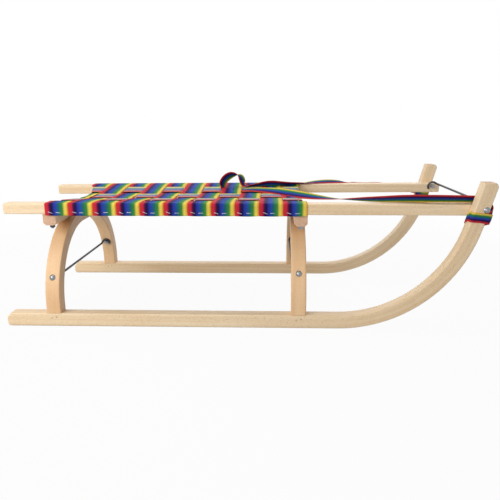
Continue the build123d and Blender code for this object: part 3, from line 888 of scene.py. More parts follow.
@dataclass
class Seat:
    """Woven seat: straps across both rails, and three straps along, over and under in turn."""

    rails: Rails
    effects: Effects
    cross_count: int = 11
    thickness: float = 0.0013
    clearance: float = 0.0003
    sag: float = 0.011
    wave: float = 0.0021
    crowning: float = 0.0004
    flap_overhang: float = 0.002
    flap_rows: int = 9
    corner_rows: int = 7
    rail_rows: int = 4
    seat_rows: int = 93
    fold_radius: float = 0.0014
    rear_bow: float = 0.031
    front_bow: float = 0.015
    long_rows: int = 230
    turn_rows: int = 10
    turn_share: float = 0.55
    turn_reach: float = 0.0004
    sunk_way: float = 0.012
    sink_way: float = 0.030
    tail: float = 0.020
    tail_rows: int = 6
    ease: float = 0.004
    long_names: tuple[str, ...] = ("long_strap_right", "long_strap_middle", "long_strap_left")
    closeness: float = 0.0009
    shifts: tuple[float, ...] = (0, 0.0005, 0.003, 0.003, 0.003, 0.003, 0.003, 0.002, 0.001, 0.0005, 0, 0)
    sway: tuple[float, float] = (0.0002, 0.0009)
    hang: float = 0.0009
    hang_shares: tuple[float, float] = (0.3, 1.0)
    hang_reach: float = 0.010
    tucked_strap: int = 8
    tuck_place: float = 0.079
    tuck_lift: float = 0.0020
    tuck_reach: float = 0.020
    seed: int = 11

    def __post_init__(self) -> None:
        """Read the straps' places from the frame."""
        self.band = Band(self.thickness)
        self.lift = self.clearance + self.thickness / 2
        self.cross_boxes = [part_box("cross_strap_%02d" % number) for number in range(1, self.cross_count + 1)]
        self.long_boxes = [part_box(name) for name in self.long_names]
        self.draws = random.Random(self.seed)

    def cross_span(self, number: int) -> tuple[float, float]:
        """Rear and front edge of a cross strap, pushed up to its neighbours as it was woven."""
        low, high = self.cross_boxes[number - 1]
        rear = low.x - self.closeness + self.shifts[number - 1]
        return rear, high.x + self.closeness + self.shifts[number]

    def cross_sign(self, number: int, row: int) -> int:
        """One where the cross strap lies on the lengthwise strap, minus one where it lies under it."""
        return 1 if (number + 3 - row) % 2 == 1 else -1

    def looseness(self, x: np.ndarray | float, y: np.ndarray | float) -> np.ndarray | float:
        """One in the seat's middle, falling to nothing at the rails."""
        return 1 - np.clip(np.abs(y) / self.rails.inner(x), 0, 1) ** 2

    def middle_height(self, x: np.ndarray | float, y: np.ndarray) -> np.ndarray:
        """Height of the seat's middle surface, which sags between the rails."""
        return self.rails.top + self.lift - self.sag * self.looseness(x, y)

    def cross_wave(self, number: int, x: float, y: np.ndarray) -> np.ndarray:
        """Rise and fall of a cross strap over and under the lengthwise straps."""
        inner = self.rails.inner(x)
        knots = [-inner]
        values = [0.0]
        for row, (low, high) in enumerate(self.long_boxes):
            height = self.wave * self.cross_sign(number, row)
            knots += [low.y, high.y]
            values += [height, height]
        rise = smooth_steps(y, knots + [inner], values + [0.0])
        if number == self.tucked_strap:
            rise = rise + self.tuck_lift * np.exp(-(((y - self.tuck_place) / self.tuck_reach) ** 2))
        return rise

    def cross_profile(self, number: int, x: float, sway: float) -> np.ndarray:
        """Front view of a cross strap: flap, rail, seat, rail, flap.

        Args:
            number: the strap's number from the rear.
            x: place of this line along the sled.
            sway: how far the flaps' free ends stand off.

        Returns:
            Rows of side and height.
        """
        rails = self.rails
        radius = rails.edge_round + self.lift
        corner_y = rails.outer(x) - rails.edge_round
        corner_z = rails.top - rails.edge_round
        flap_y = rails.outer(x) + self.lift
        drop = np.linspace(rails.bottom - self.flap_overhang, corner_z, self.flap_rows)
        loose = ((corner_z - drop) / (corner_z - drop[0])) ** 3 * sway
        flap = np.stack([flap_y + loose, drop], axis=1)
        turns = np.linspace(0, math.pi / 2, self.corner_rows + 1)[1:]
        corner = np.stack([corner_y + radius * np.cos(turns), corner_z + radius * np.sin(turns)], axis=1)
        inner = rails.inner(x)
        top_y = np.linspace(corner_y, inner, self.rail_rows + 2)[1:-1]
        top = np.stack([top_y, np.full(len(top_y), rails.top + self.lift)], axis=1)
        left = np.concatenate([flap, corner, top])
        seat_y = np.linspace(inner, -inner, self.seat_rows)
        seat_z = self.middle_height(x, seat_y) + self.cross_wave(number, x, seat_y)
        seat = np.stack([seat_y, seat_z], axis=1)
        right = left[::-1] * np.array([-1.0, 1.0])
        return np.concatenate([left, seat, right])

    def fold(self, distance: np.ndarray, flat: np.ndarray) -> tuple[np.ndarray, np.ndarray]:
        """Fold the outer part of an end strap under.

        Args:
            distance: distance from the strap's inner edge, along the cloth.
            flat: how much of it lies flat before the fold.

        Returns:
            The reach from the inner edge and the drop below the flat part.
        """
        radius = self.fold_radius
        over = np.maximum(distance - flat, 0)
        turn = np.minimum(over / radius, math.pi)
        back = np.maximum(over - math.pi * radius, 0)
        reach = np.minimum(distance, flat) + radius * np.sin(turn) - back
        return reach, radius * (1 - np.cos(turn))

    def bow(self, number: int, y: np.ndarray | float, x: float) -> np.ndarray | float:
        """How far an end strap's outer edge is drawn in between the rails."""
        depth = self.rear_bow if number == 1 else self.front_bow
        return depth * self.looseness(x, y)

    def cross_grid(self, number: int) -> tuple[np.ndarray, float]:
        """Middle surface of a cross strap.

        Args:
            number: the strap's number from the rear.

        Returns:
            The grid and the strap's width.
        """
        start, front = self.cross_span(number)
        width = front - start
        sway = self.draws.uniform(*self.sway)
        hang = self.hang * self.draws.uniform(*self.hang_shares)
        lines = []
        for share in self.band.columns(width):
            x = start + width * share
            y, z = self.cross_profile(number, x, sway).T
            low_part = np.clip((self.rails.bottom + self.hang_reach - z) / self.hang_reach, 0, 1)
            hanging = low_part * (np.abs(y) > self.rails.outer(x))
            z = z - hang * hanging * arched(share)
            z = z + self.crowning * arched(share) * (np.abs(y) < self.rails.inner(x))
            x_line = np.full(len(y), x)
            if number in (1, self.cross_count):
                drawn = self.bow(number, y, x)
                folded = drawn + self.fold_radius * (1 - np.exp(-drawn / self.fold_radius))
                from_inner = (1 - share) * width if number == 1 else share * width
                reach, drop = self.fold(np.full(len(y), from_inner), width - folded)
                x_line = start + width - reach if number == 1 else start + reach
                z = z - drop
            lines.append(np.stack([x_line, y, z], axis=1))
        return np.stack(lines, axis=1), width

    def long_wave(self, row: int, x: np.ndarray) -> np.ndarray:
        """Rise and fall of a lengthwise strap, opposite to each cross strap that it meets."""
        knots = []
        values = []
        for number in range(1, self.cross_count + 1):
            height = -self.wave * self.cross_sign(number, row)
            rear, front = self.cross_span(number)
            knots += [rear + self.ease, front - self.ease]
            values += [height, height]
        return smooth_steps(x, knots, values)

    def end_turn(self, x: float, z: float, radius: float, way: int) -> list[tuple[float, float]]:
        """Turn of a lengthwise strap round an end strap, and its tail that runs back below.

        Args:
            x: where the turn starts.
            z: the height there.
            radius: the turn's radius.
            way: one at the front, minus one at the rear.

        Returns:
            Points along the sled and up.
        """
        turns = np.linspace(0, math.pi, self.turn_rows + 1)[1:]
        arc = [(x + way * radius * math.sin(turn), z - radius * (1 - math.cos(turn))) for turn in turns]
        tail = np.linspace(0, self.tail, self.tail_rows + 1)[1:]
        return arc + [(x - way * step, arc[-1][1]) for step in tail]

    def long_grid(self, row: int) -> tuple[np.ndarray, float]:
        """Middle surface of a lengthwise strap, its ends folded round the end straps.

        Args:
            row: 0 on the sled's right, 1 in the middle, 2 on the left.

        Returns:
            The grid and the strap's width.
        """
        low, high = self.long_boxes[row]
        width = high.y - low.y
        rear_x, front_x = self.cross_boxes[0][0].x, self.cross_boxes[-1][1].x
        over = self.cross_sign(1, row) < 0
        dip = 2 * self.wave + 2 * self.fold_radius + self.thickness + self.clearance
        radius = dip / 2 if over else self.thickness
        inset = radius * self.turn_share - self.turn_reach
        sunk, sink = self.sunk_way, self.sink_way
        depth = 2 * self.fold_radius - self.wave + self.thickness
        lines = []
        for share in self.band.columns(width):
            y = low.y + width * share
            rear = rear_x + self.bow(1, y, rear_x) + inset
            front = front_x - self.bow(self.cross_count, y, front_x) - inset
            x = np.linspace(rear, front, self.long_rows)
            z = self.middle_height(x, y) + self.long_wave(row, x)
            if not over:
                z = z - depth * smooth_steps(x, [rear, rear + sunk, rear + sink], [1, 1, 0])
                z = z - depth * smooth_steps(x, [front - sink, front - sunk, front], [0, 1, 1])
            rear_end = self.end_turn(rear, z[0], radius, -1)[::-1]
            path = rear_end + list(zip(x, z)) + self.end_turn(front, z[-1], radius, 1)
            crown = self.crowning * arched(share)
            lines.append(np.array([(along, y, up + crown) for along, up in path]))
        return np.stack(lines, axis=1), width

    def show_strap(
        self,
        node: str,
        grid: np.ndarray,
        width: float,
        cloth: bpy.types.Material,
    ) -> bpy.types.Object:
        """Close a woven strap and put it in its CAD node's place.

        Args:
            node: the CAD node.
            grid: points of the strap's middle surface.
            width: the strap's width.
            cloth: the webbing's material.

        Returns:
            The piece.
        """
        name = "woven_" + node
        piece = show_piece(name, self.band.mesh(name, grid, width), cloth)
        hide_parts(node)
        return piece

    def build(self) -> list[bpy.types.Object]:
        """Build the woven straps, first those across and then those along.

        Returns:
            The pieces.
        """
        # The cross straps get a little painted shade, their colour darkened toward near black.
        cross_finish = WebbingFinish("webbing across", 0.0495, shine=0.08, shade=0.02)
        cross_cloth = cross_finish.material(self.effects)
        # The lengthwise straps get a painted sheen, their colour paled toward grey.
        long_finish = WebbingFinish("webbing lengthwise", 0.050, sheen=0.40, shine=0.3, painted_sheen=0.08)
        long_cloth = long_finish.material(self.effects)
        pieces = []
        for number in range(1, self.cross_count + 1):
            grid, width = self.cross_grid(number)
            piece = self.show_strap("cross_strap_%02d" % number, grid, width, cross_cloth)
            pieces.append(piece)
        for row, node in enumerate(self.long_names):
            grid, width = self.long_grid(row)
            piece = self.show_strap(node, grid, width, long_cloth)
            pieces.append(piece)
        return pieces

    @staticmethod
    def line_length(grid: np.ndarray) -> float:
        """Length of a strap along its middle column."""
        line = grid[:, grid.shape[1] // 2]
        return round(float(np.linalg.norm(np.diff(line, axis=0), axis=1).sum()), 4)


@dataclass
class Staples:
    """Two wire staples through each cross strap's flap into each rail's outer face."""

    rails: Rails
    effects: Effects
    cross_count: int = 11
    crown: float = 0.0095
    wire: float = 0.0011
    flatness: float = 0.62
    bend_share: float = 0.9
    bend_turns: tuple[float, ...] = (0.0, 0.26, 0.52, 0.79, 1.05, 1.31, math.pi / 2)
    leg: float = 0.0015
    sections: int = 8
    height: float = 0.2375
    places: tuple[float, float] = (0.0115, 0.0285)
    tilts: tuple[float, float] = (-0.30, 0.0)
    place_spread: float = 0.0015
    tilt_spread: float = 0.08
    height_spread: float = 0.0007
    cloth: float = 0.0016
    seed: int = 5

    def wire_points(self) -> list[Vector]:
        """Middle line of a staple: leg in the wood, rounded corner, crown, rounded corner, leg."""
        half = self.crown / 2
        bend = self.wire * self.bend_share
        points = [Vector((-half, -self.leg, 0))]
        for turn in self.bend_turns:
            out = bend * (math.sin(turn) - 1) + self.wire / 2
            points.append(Vector((-half + bend * (1 - math.cos(turn)), out, 0)))
        return points + [Vector((-point.x, point.y, 0)) for point in reversed(points)]

    def wire_rings(self) -> list[tuple[float, float, float]]:
        """Points along, out and up in rings round the staple's flattened wire."""
        line = self.wire_points()
        points = []
        for index, point in enumerate(line):
            ahead = line[min(index + 1, len(line) - 1)] - line[max(index - 1, 0)]
            outward = Vector((-ahead.y, ahead.x, 0)).normalized()
            for section in range(self.sections):
                angle = 2 * math.pi * section / self.sections
                spot = point + outward * (self.wire / 2 * self.flatness * math.cos(angle))
                points.append((spot.x, spot.y, self.wire / 2 * math.sin(angle)))
        return points

    def build(self, side_name: str, side: int) -> bpy.types.Object:
        """Build the staples of one rail as a joined mesh.

        Args:
            side_name: left or right.
            side: one on the sled's left, minus one on its right.

        Returns:
            The piece.
        """
        draws = random.Random(self.seed + side)
        staple = self.wire_rings()
        rings = len(staple) // self.sections
        vertices = []
        faces = []
        for number in range(1, self.cross_count + 1):
            low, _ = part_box("cross_strap_%02d" % number)
            for place, tilt in zip(self.places, self.tilts):
                x = low.x + place + draws.uniform(-self.place_spread, self.place_spread)
                lean = tilt + draws.uniform(-self.tilt_spread, self.tilt_spread)
                z = self.height + draws.uniform(-self.height_spread, self.height_spread)
                y = self.rails.outer(x) + self.cloth
                faces += round_faces(len(vertices), rings, self.sections, side > 0)
                for along, out, up in staple:
                    run = along * math.cos(lean) - up * math.sin(lean)
                    rise = along * math.sin(lean) + up * math.cos(lean)
                    vertices.append((x + run, side * (y + out), z + rise))
        mesh = smooth_mesh("staples_" + side_name, vertices, faces)
        finish = SteelFinish("staple wire " + side_name, (190, 192, 196), (130, 128, 126), 0.9, 0.3)
        return show_piece("staples_" + side_name, mesh, finish.material(self.effects))


@dataclass(frozen=True)
class StrapPoint:
    """A point of the pull strap's route, and the way from its red edge to its yellow edge."""

    x: float
    y: float
    z: float
    across: tuple[float, float, float]


PULL_ROUTE = (
    StrapPoint(0.4780, -0.1660, 0.2645, (0, 0.72, -0.69)),
    StrapPoint(0.4400, -0.1670, 0.2655, (0, 0.71, -0.71)),
    StrapPoint(0.3920, -0.1650, 0.2657, (0, 0.68, -0.73)),
    StrapPoint(0.3350, -0.1480, 0.2635, (0, 0.69, -0.72)),
    StrapPoint(0.2900, -0.1300, 0.2590, (0, 0.8, -0.6)),
    StrapPoint(0.2450, -0.1040, 0.2550, (0, 0.93, -0.37)),
    StrapPoint(0.2000, -0.0880, 0.2530, (0, 1, -0.05)),
    StrapPoint(0.1600, -0.0600, 0.2535, (0, 0.96, 0.28)),
    StrapPoint(0.1100, -0.0130, 0.2545, (0, 0.84, 0.54)),
    StrapPoint(0.0600, 0.0420, 0.2545, (0, 0.93, 0.36)),
    StrapPoint(0.0120, 0.0660, 0.2530, (0, 0.98, 0.19)),
    StrapPoint(-0.0060, 0.0700, 0.2515, (0, 1, 0)),
    StrapPoint(-0.0200, 0.0740, 0.2498, (0, 1, 0)),
    StrapPoint(-0.0400, 0.0800, 0.2500, (0, 1, 0)),
    StrapPoint(-0.0560, 0.0860, 0.2508, (0, 1, 0)),
    StrapPoint(-0.0590, 0.0900, 0.2540, (0.1, 1, 0)),
    StrapPoint(-0.0598, 0.0930, 0.2600, (0.62, 0.78, 0.05)),
    StrapPoint(-0.0580, 0.0943, 0.2680, (0.68, 0.66, -0.2)),
    StrapPoint(-0.0525, 0.0950, 0.2760, (0.62, 0.58, -0.5)),
    StrapPoint(-0.0440, 0.0955, 0.2830, (0.4, 0.6, -0.7)),
    StrapPoint(-0.0350, 0.0960, 0.2865, (0.1, 0.72, -0.7)),
    StrapPoint(-0.0235, 0.0965, 0.2870, (0, 0.95, -0.3)),
    StrapPoint(-0.0150, 0.0970, 0.2825, (0.4, 0.88, 0.2)),
    StrapPoint(-0.0100, 0.0985, 0.2745, (0.55, 0.82, 0.1)),
    StrapPoint(-0.0080, 0.1000, 0.2660, (0.5, 0.86, 0)),
    StrapPoint(-0.0050, 0.1020, 0.2590, (0.2, 0.97, 0.1)),
    StrapPoint(0.0080, 0.1050, 0.2565, (0, 0.93, -0.37)),
    StrapPoint(0.0200, 0.1070, 0.2570, (0, 0.9, -0.43)),
    StrapPoint(0.0400, 0.1060, 0.2595, (0, 0.74, -0.67)),
    StrapPoint(0.0620, 0.1050, 0.2615, (0, 0.55, -0.84)),
    StrapPoint(0.0850, 0.1100, 0.2600, (0, 0.72, -0.7)),
    StrapPoint(0.1100, 0.1220, 0.2580, (0, 0.87, -0.5)),
    StrapPoint(0.1420, 0.1430, 0.2575, (0, 0.97, -0.25)),
    StrapPoint(0.1680, 0.1570, 0.2586, (0, 0.99, 0.1)),
    StrapPoint(0.1950, 0.1640, 0.2600, (0, 0.96, 0.27)),
    StrapPoint(0.2300, 0.1700, 0.2600, (0, 0.96, 0.27)),
    StrapPoint(0.2600, 0.1800, 0.2570, (0, 1, 0)),
    StrapPoint(0.2760, 0.1865, 0.2510, (0, 0.8, -0.6)),
    StrapPoint(0.2950, 0.1885, 0.2440, (0, 0.4, -0.92)),
    StrapPoint(0.3280, 0.1890, 0.2430, (0, 0.1, -1)),
    StrapPoint(0.3650, 0.1900, 0.2430, (0, -0.5, -0.85)),
    StrapPoint(0.4050, 0.1925, 0.2425, (0, -0.95, 0.3)),
    StrapPoint(0.4380, 0.1990, 0.2385, (0, -0.35, 0.93)),
    StrapPoint(0.4520, 0.2060, 0.2345, (0.1, 0, 1)),
    StrapPoint(0.4640, 0.2081, 0.2335, (0.26, 0, 0.97)),
)
TIP_ROUTE = (
    StrapPoint(0.4890, -0.2010, 0.2340, (0, 0.15, -0.99)),
    StrapPoint(0.4965, -0.1960, 0.2400, (0.1, 0.3, -0.95)),
    StrapPoint(0.4978, -0.1860, 0.2470, (0.1, 0.6, -0.8)),
    StrapPoint(0.4965, -0.1760, 0.2530, (0.1, 0.75, -0.66)),
    StrapPoint(0.4920, -0.1690, 0.2590, (0, 0.75, -0.66)),
    StrapPoint(0.4850, -0.1665, 0.2630, (0, 0.74, -0.67)),
    StrapPoint(0.4700, -0.1660, 0.2648, (0, 0.72, -0.69)),
)


RUNNER_BEND = Bend(0.2034, 0.284, math.radians(75))


@dataclass
class PullStrap:
    """One flat strap from horn to horn, tucked under a cross strap with a hand loop over it."""

    effects: Effects
    width: float = 0.024
    thickness: float = 0.0013
    inner_columns: int = 5
    line_steps: int = 10
    horn_bend: Bend = RUNNER_BEND
    horn_width: float = 0.026
    horn_depth: float = 0.029
    loop_low: float = -0.0035
    loop_high: float = 0.0102
    loop_back_rise: float = 0.9
    loop_level: float = 0.17
    loop_gather: float = 0.86
    loop_ripple: float = 0.05
    loop_slack: float = 0.0042
    slack_start: float = 0.4
    loop_round: float = 0.0036
    loop_gap: float = 0.0011
    loop_rows: int = 72
    corner_points: int = 7

    def __post_init__(self) -> None:
        """Set the tape that the strap and its loops are made of."""
        self.band = Band(self.thickness, inner_columns=self.inner_columns)

    def sampled(self, name: str, points: list[tuple[float, float, float]]) -> np.ndarray:
        """Points of the smooth line that a route's control points give.

        Args:
            name: name of the line.
            points: its control points.

        Returns:
            Rows of points along the line.
        """
        curve = bpy.data.curves.new(name, "CURVE")
        curve.dimensions = "3D"
        curve.resolution_u = self.line_steps
        spline = curve.splines.new("NURBS")
        spline.points.add(len(points) - 1)
        for control, point in zip(spline.points, points):
            control.co = (*point, 1.0)
        spline.order_u = 3
        spline.use_endpoint_u = True
        holder = bpy.data.objects.new(name, curve)
        line = bpy.data.meshes.new_from_object(holder)
        result = np.array([tuple(vertex.co) for vertex in line.vertices])
        bpy.data.objects.remove(holder)
        bpy.data.meshes.remove(line)
        bpy.data.curves.remove(curve)
        return result

    def ribbon(self, name: str, route: tuple[StrapPoint, ...]) -> tuple[bpy.types.Mesh, np.ndarray]:
        """Lay the flat strap along a route.

        Args:
            name: the mesh's name.
            route: points with the strap's turn at each.

        Returns:
            The mesh and the points of its middle line.
        """
        middle = self.sampled(name + "_middle", [(point.x, point.y, point.z) for point in route])
        reach = self.width / 2
        edge_points = []
        for point in route:
            edge = Vector((point.x, point.y, point.z)) + Vector(point.across).normalized() * reach
            edge_points.append(tuple(edge))
        edge = self.sampled(name + "_edge", edge_points)
        tangent = np.gradient(middle, axis=0)
        tangent /= np.linalg.norm(tangent, axis=1, keepdims=True)
        across = edge - middle
        across -= tangent * (across * tangent).sum(axis=1, keepdims=True)
        across /= np.linalg.norm(across, axis=1, keepdims=True)
        offsets = (self.band.columns(self.width) - 0.5) * self.width
        grid = middle[:, None, :] + across[:, None, :] * offsets[None, :, None]
        return self.band.mesh(name, grid, self.width), middle

    def horn_point(self, height: float) -> Vector:
        """Middle of a horn's section at a height, without its side."""
        start, radius, angle = self.horn_bend.start, self.horn_bend.radius, self.horn_bend.angle
        outer_x = start + radius * math.sin(angle)
        outer_z = radius * (1 - math.cos(angle))
        foot_x = outer_x - self.horn_depth / 2 / math.sin(angle)
        return Vector((foot_x + (height - outer_z) / math.tan(angle), 0, height))

    def horn_loop(self, name: str, node: str, side: int, cloth: bpy.types.Material) -> bpy.types.Object:
        """Build the band round a horn, low under the rail and higher on the outer face.

        Args:
            name: the piece's name.
            node: the CAD node that it stands for.
            side: one on the sled's left, minus one on its right.
            cloth: the webbing's material.

        Returns:
            The piece.
        """
        low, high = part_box(node)
        centre = self.horn_point((low.z + high.z) / 2)
        centre.y = (low.y + high.y) / 2
        angle = self.horn_bend.angle
        axis = Vector((math.cos(angle), 0, math.sin(angle)))
        front = Vector((math.sin(angle), 0, -math.cos(angle)))
        outward = Vector((0, side, 0))
        rows = []
        for deep, out in self.resample(self.horn_outline(), self.loop_rows):
            deep_share = deep / self.horn_depth * 2
            out_share = out / self.horn_width * 2
            level = min(1.0, out_share + self.loop_back_rise * max(0.0, -deep_share)) / 2 + 0.5
            rise = self.loop_low + (self.loop_high - self.loop_low) * max(0.0, level)
            rise += self.loop_level * deep
            slack = self.loop_slack * max(0.0, deep_share) ** 3 * max(0.0, out_share + self.slack_start)
            base = centre + front * (deep + slack) + outward * out + axis * rise
            squeeze = self.loop_gather - self.loop_ripple * abs(math.sin(3 * math.atan2(out, deep)))
            offsets = (self.band.columns(self.width) - 0.5) * self.width * squeeze
            rows.append([tuple(base + axis * offset) for offset in offsets])
        mesh = self.band.mesh(name, np.array(rows if side > 0 else rows[::-1]), self.width, ring=True)
        piece = show_piece(name, mesh, cloth)
        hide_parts(node)
        return piece

    def horn_outline(self) -> list[tuple[float, float]]:
        """Rounded outline round a horn's section as front reach and outward reach."""
        half_side = self.horn_width / 2 + self.loop_gap - self.loop_round
        half_deep = self.horn_depth / 2 + self.loop_gap - self.loop_round
        outline = []
        for deep, out, start in ((1, 1, 0), (1, -1, -90), (-1, -1, -180), (-1, 1, -270)):
            for turn in np.linspace(start + 90, start, self.corner_points):
                angle = math.radians(turn)
                outline.append((
                    deep * half_deep + self.loop_round * math.cos(angle),
                    out * half_side + self.loop_round * math.sin(angle),
                ))
        return outline

    @staticmethod
    def resample(outline: list[tuple[float, float]], count: int) -> np.ndarray:
        """Spread points evenly round a closed outline."""
        closed = np.array(outline + outline[:1])
        steps = np.concatenate([[0], np.cumsum(np.linalg.norm(np.diff(closed, axis=0), axis=1))])
        places = np.linspace(0, steps[-1], count, endpoint=False)
        return np.stack([np.interp(places, steps, closed[:, axis]) for axis in (0, 1)], axis=1)

    def build(self) -> list[bpy.types.Object]:
        """Build the strap and its loops round the horns.

        Returns:
            The pieces.
        """
        # Painted shade: the pull strap and its horn loops are darkened toward near black, as shade on their
        # undersides.
        finish = WebbingFinish("pull strap webbing", self.width, shine=0.08, shade=0.10)
        cloth = finish.material(self.effects)
        mesh, middle = self.ribbon("pull_strap", PULL_ROUTE)
        strap = show_piece("pull_strap", mesh, cloth)
        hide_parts("pull_strap_near_run", "pull_strap_hand_loop", "pull_strap_far_run")
        tip_mesh, _ = self.ribbon("pull_strap_tip_turn", TIP_ROUTE)
        tip = show_piece("pull_strap_tip_turn", tip_mesh, cloth)
        near = self.horn_loop("horn_wrap_right", "pull_strap_loop_right", -1, cloth)
        far = self.horn_loop("horn_wrap_left", "pull_strap_loop_left", 1, cloth)
        return [strap, tip, near, far]


@dataclass
class WoodFrame:
    """Runners, rails, arches and crossbars: the CAD solids, dressed in beech."""

    effects: Effects
    runner_bend: Bend = RUNNER_BEND
    arch_bend: Bend = Bend(0.0255, 0.180, math.radians(90))
    arch_crown: float = 0.221
    arch_light: Colour = (246, 210, 167)
    arch_dark: Colour = (228, 182, 135)

    def arch_finish(self, name: str, seed: float) -> BeechFinish:
        """Warmer beech whose grain follows an arch over its crown."""
        bend, crown = self.arch_bend, self.arch_crown
        return BeechFinish(name, Axis.Y, seed, bend, crown, light=self.arch_light, dark=self.arch_dark)

    def dress(self) -> list[str]:
        """Give each bar its own grain.

        Returns:
            The dressed nodes.
        """
        finishes = {
            "runner_left": BeechFinish("beech runner left", Axis.X, 0.31, self.runner_bend),
            "runner_right": BeechFinish("beech runner right", Axis.X, 1.87, self.runner_bend),
            "rail_left": BeechFinish("beech rail left", Axis.X, 2.63),
            "rail_right": BeechFinish("beech rail right", Axis.X, 3.29),
            "arch_rear": self.arch_finish("beech arch rear", 4.41),
            "arch_front": self.arch_finish("beech arch front", 5.77),
            "crossbar_rear": BeechFinish("beech crossbar rear", Axis.Y, 6.13),
            "crossbar_front": BeechFinish("beech crossbar front", Axis.Y, 7.59),
        }
        for node, finish in finishes.items():
            dress_node(node, finish.material(self.effects))
        return list(finishes)


def dress_node(node: str, material: bpy.types.Material) -> None:
    """Give a CAD node a material without touching its shape."""
    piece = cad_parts[node]
    for slot in piece.material_slots:
        slot.material = material


@dataclass
class Fittings:
    """Bolts, nuts and wires: the CAD solids dressed in steel, and pins at the arches' feet. The rear rail nuts
    get the dark steel as painted shade.
    """

    effects: Effects
    # Painted shade: these nuts are zinc like the rest, dressed in the dark steel for the shadow under the rear
    # crossbar.
    nuts_in_painted_shade: str = "rail_nuts_rear"
    pin_radius: float = 0.0011
    pin_proud: float = 0.0003
    pin_rings: tuple[tuple[float, float], ...] = ((0.7, 0.0), (1.0, -0.4), (1.0, -3.0))
    pin_steps: int = 12
    pin_spread: float = 0.005
    pin_height: float = 0.0185
    pin_rise: float = 0.002

    def dress(self) -> list[str]:
        """Give each fitting its steel.

        Returns:
            The dressed nodes.
        """
        bright_finish = SteelFinish("zinc plated steel", (138, 140, 144), (150, 150, 152), 1.0, 0.12)
        bright = bright_finish.material(self.effects)
        dark_finish = SteelFinish("blackened wire", (66, 66, 70), (120, 120, 124), 0.75, 0.36)
        dark = dark_finish.material(self.effects)
        dressed = []
        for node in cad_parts:
            # Rods get the real blackened steel; the rear rail nuts get it as painted shade.
            if "rod" in node or node == self.nuts_in_painted_shade:
                dress_node(node, dark)
            elif "bolts" in node or "nuts" in node:
                dress_node(node, bright)
            else:
                continue
            dressed.append(node)
        return dressed

    def pin(self, x: float, face: float, z: float, way: int) -> list[tuple[float, float, float]]:
        """Vertices of one pin, whose domed head stands a little proud of the wood.

        Args:
            x: place along the sled.
            face: side of the runner's face.
            z: height.
            way: one where the face looks to the sled's left, minus one to its right.

        Returns:
            The points, ring by ring from the head inward.
        """
        points = []
        for share, depth in self.pin_rings:
            reach = self.pin_radius * share
            y = face + way * self.pin_proud * (1 + depth)
            for step in range(self.pin_steps):
                angle = 2 * math.pi * step / self.pin_steps
                points.append((x + reach * math.cos(angle), y, z + reach * math.sin(angle)))
        return points

    def build_pins(self) -> bpy.types.Object:
        """Build the pins that lock the arches' tenons, two on each face of each runner.

        Returns:
            The piece.
        """
        vertices = []
        faces = []
        for runner in ("runner_left", "runner_right"):
            low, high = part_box(runner)
            for arch in ("arch_rear", "arch_front"):
                arch_low, arch_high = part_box(arch)
                middle = (arch_low.x + arch_high.x) / 2
                for face, way in ((high.y, 1), (low.y, -1)):
                    for shift, rise in ((-self.pin_spread, 0.0), (self.pin_spread, self.pin_rise)):
                        faces += round_faces(len(vertices), len(self.pin_rings), self.pin_steps, way > 0)
                        vertices += self.pin(middle + shift, face, self.pin_height + rise, way)
        mesh = smooth_mesh("tenon_pins", vertices, faces)
        finish = SteelFinish("pin heads", (120, 112, 104), (86, 78, 70), 0.8, 0.4)
        return show_piece("tenon_pins", mesh, finish.material(self.effects))


@dataclass(frozen=True)
class Lamp:
    """A soft square lamp: its place, its side, its power in watts and its colour, 0 to 255."""

    name: str
    place: tuple[float, float, float]
    size: float
    power: float
    tint: Colour


STUDIO_LAMPS = (
    Lamp("key", (-1.15, -1.05, 0.85), 0.9, 11.5, (255, 250, 240)),
    Lamp("front", (-1.3, -5.7, 1.6), 3.0, 76.0, (255, 250, 241)),
    Lamp("top", (-0.3, 0.3, 2.2), 1.6, 19.0, (255, 253, 250)),
    Lamp("back", (0.2, 2.4, 1.8), 2.4, 14.0, (255, 255, 255)),
)


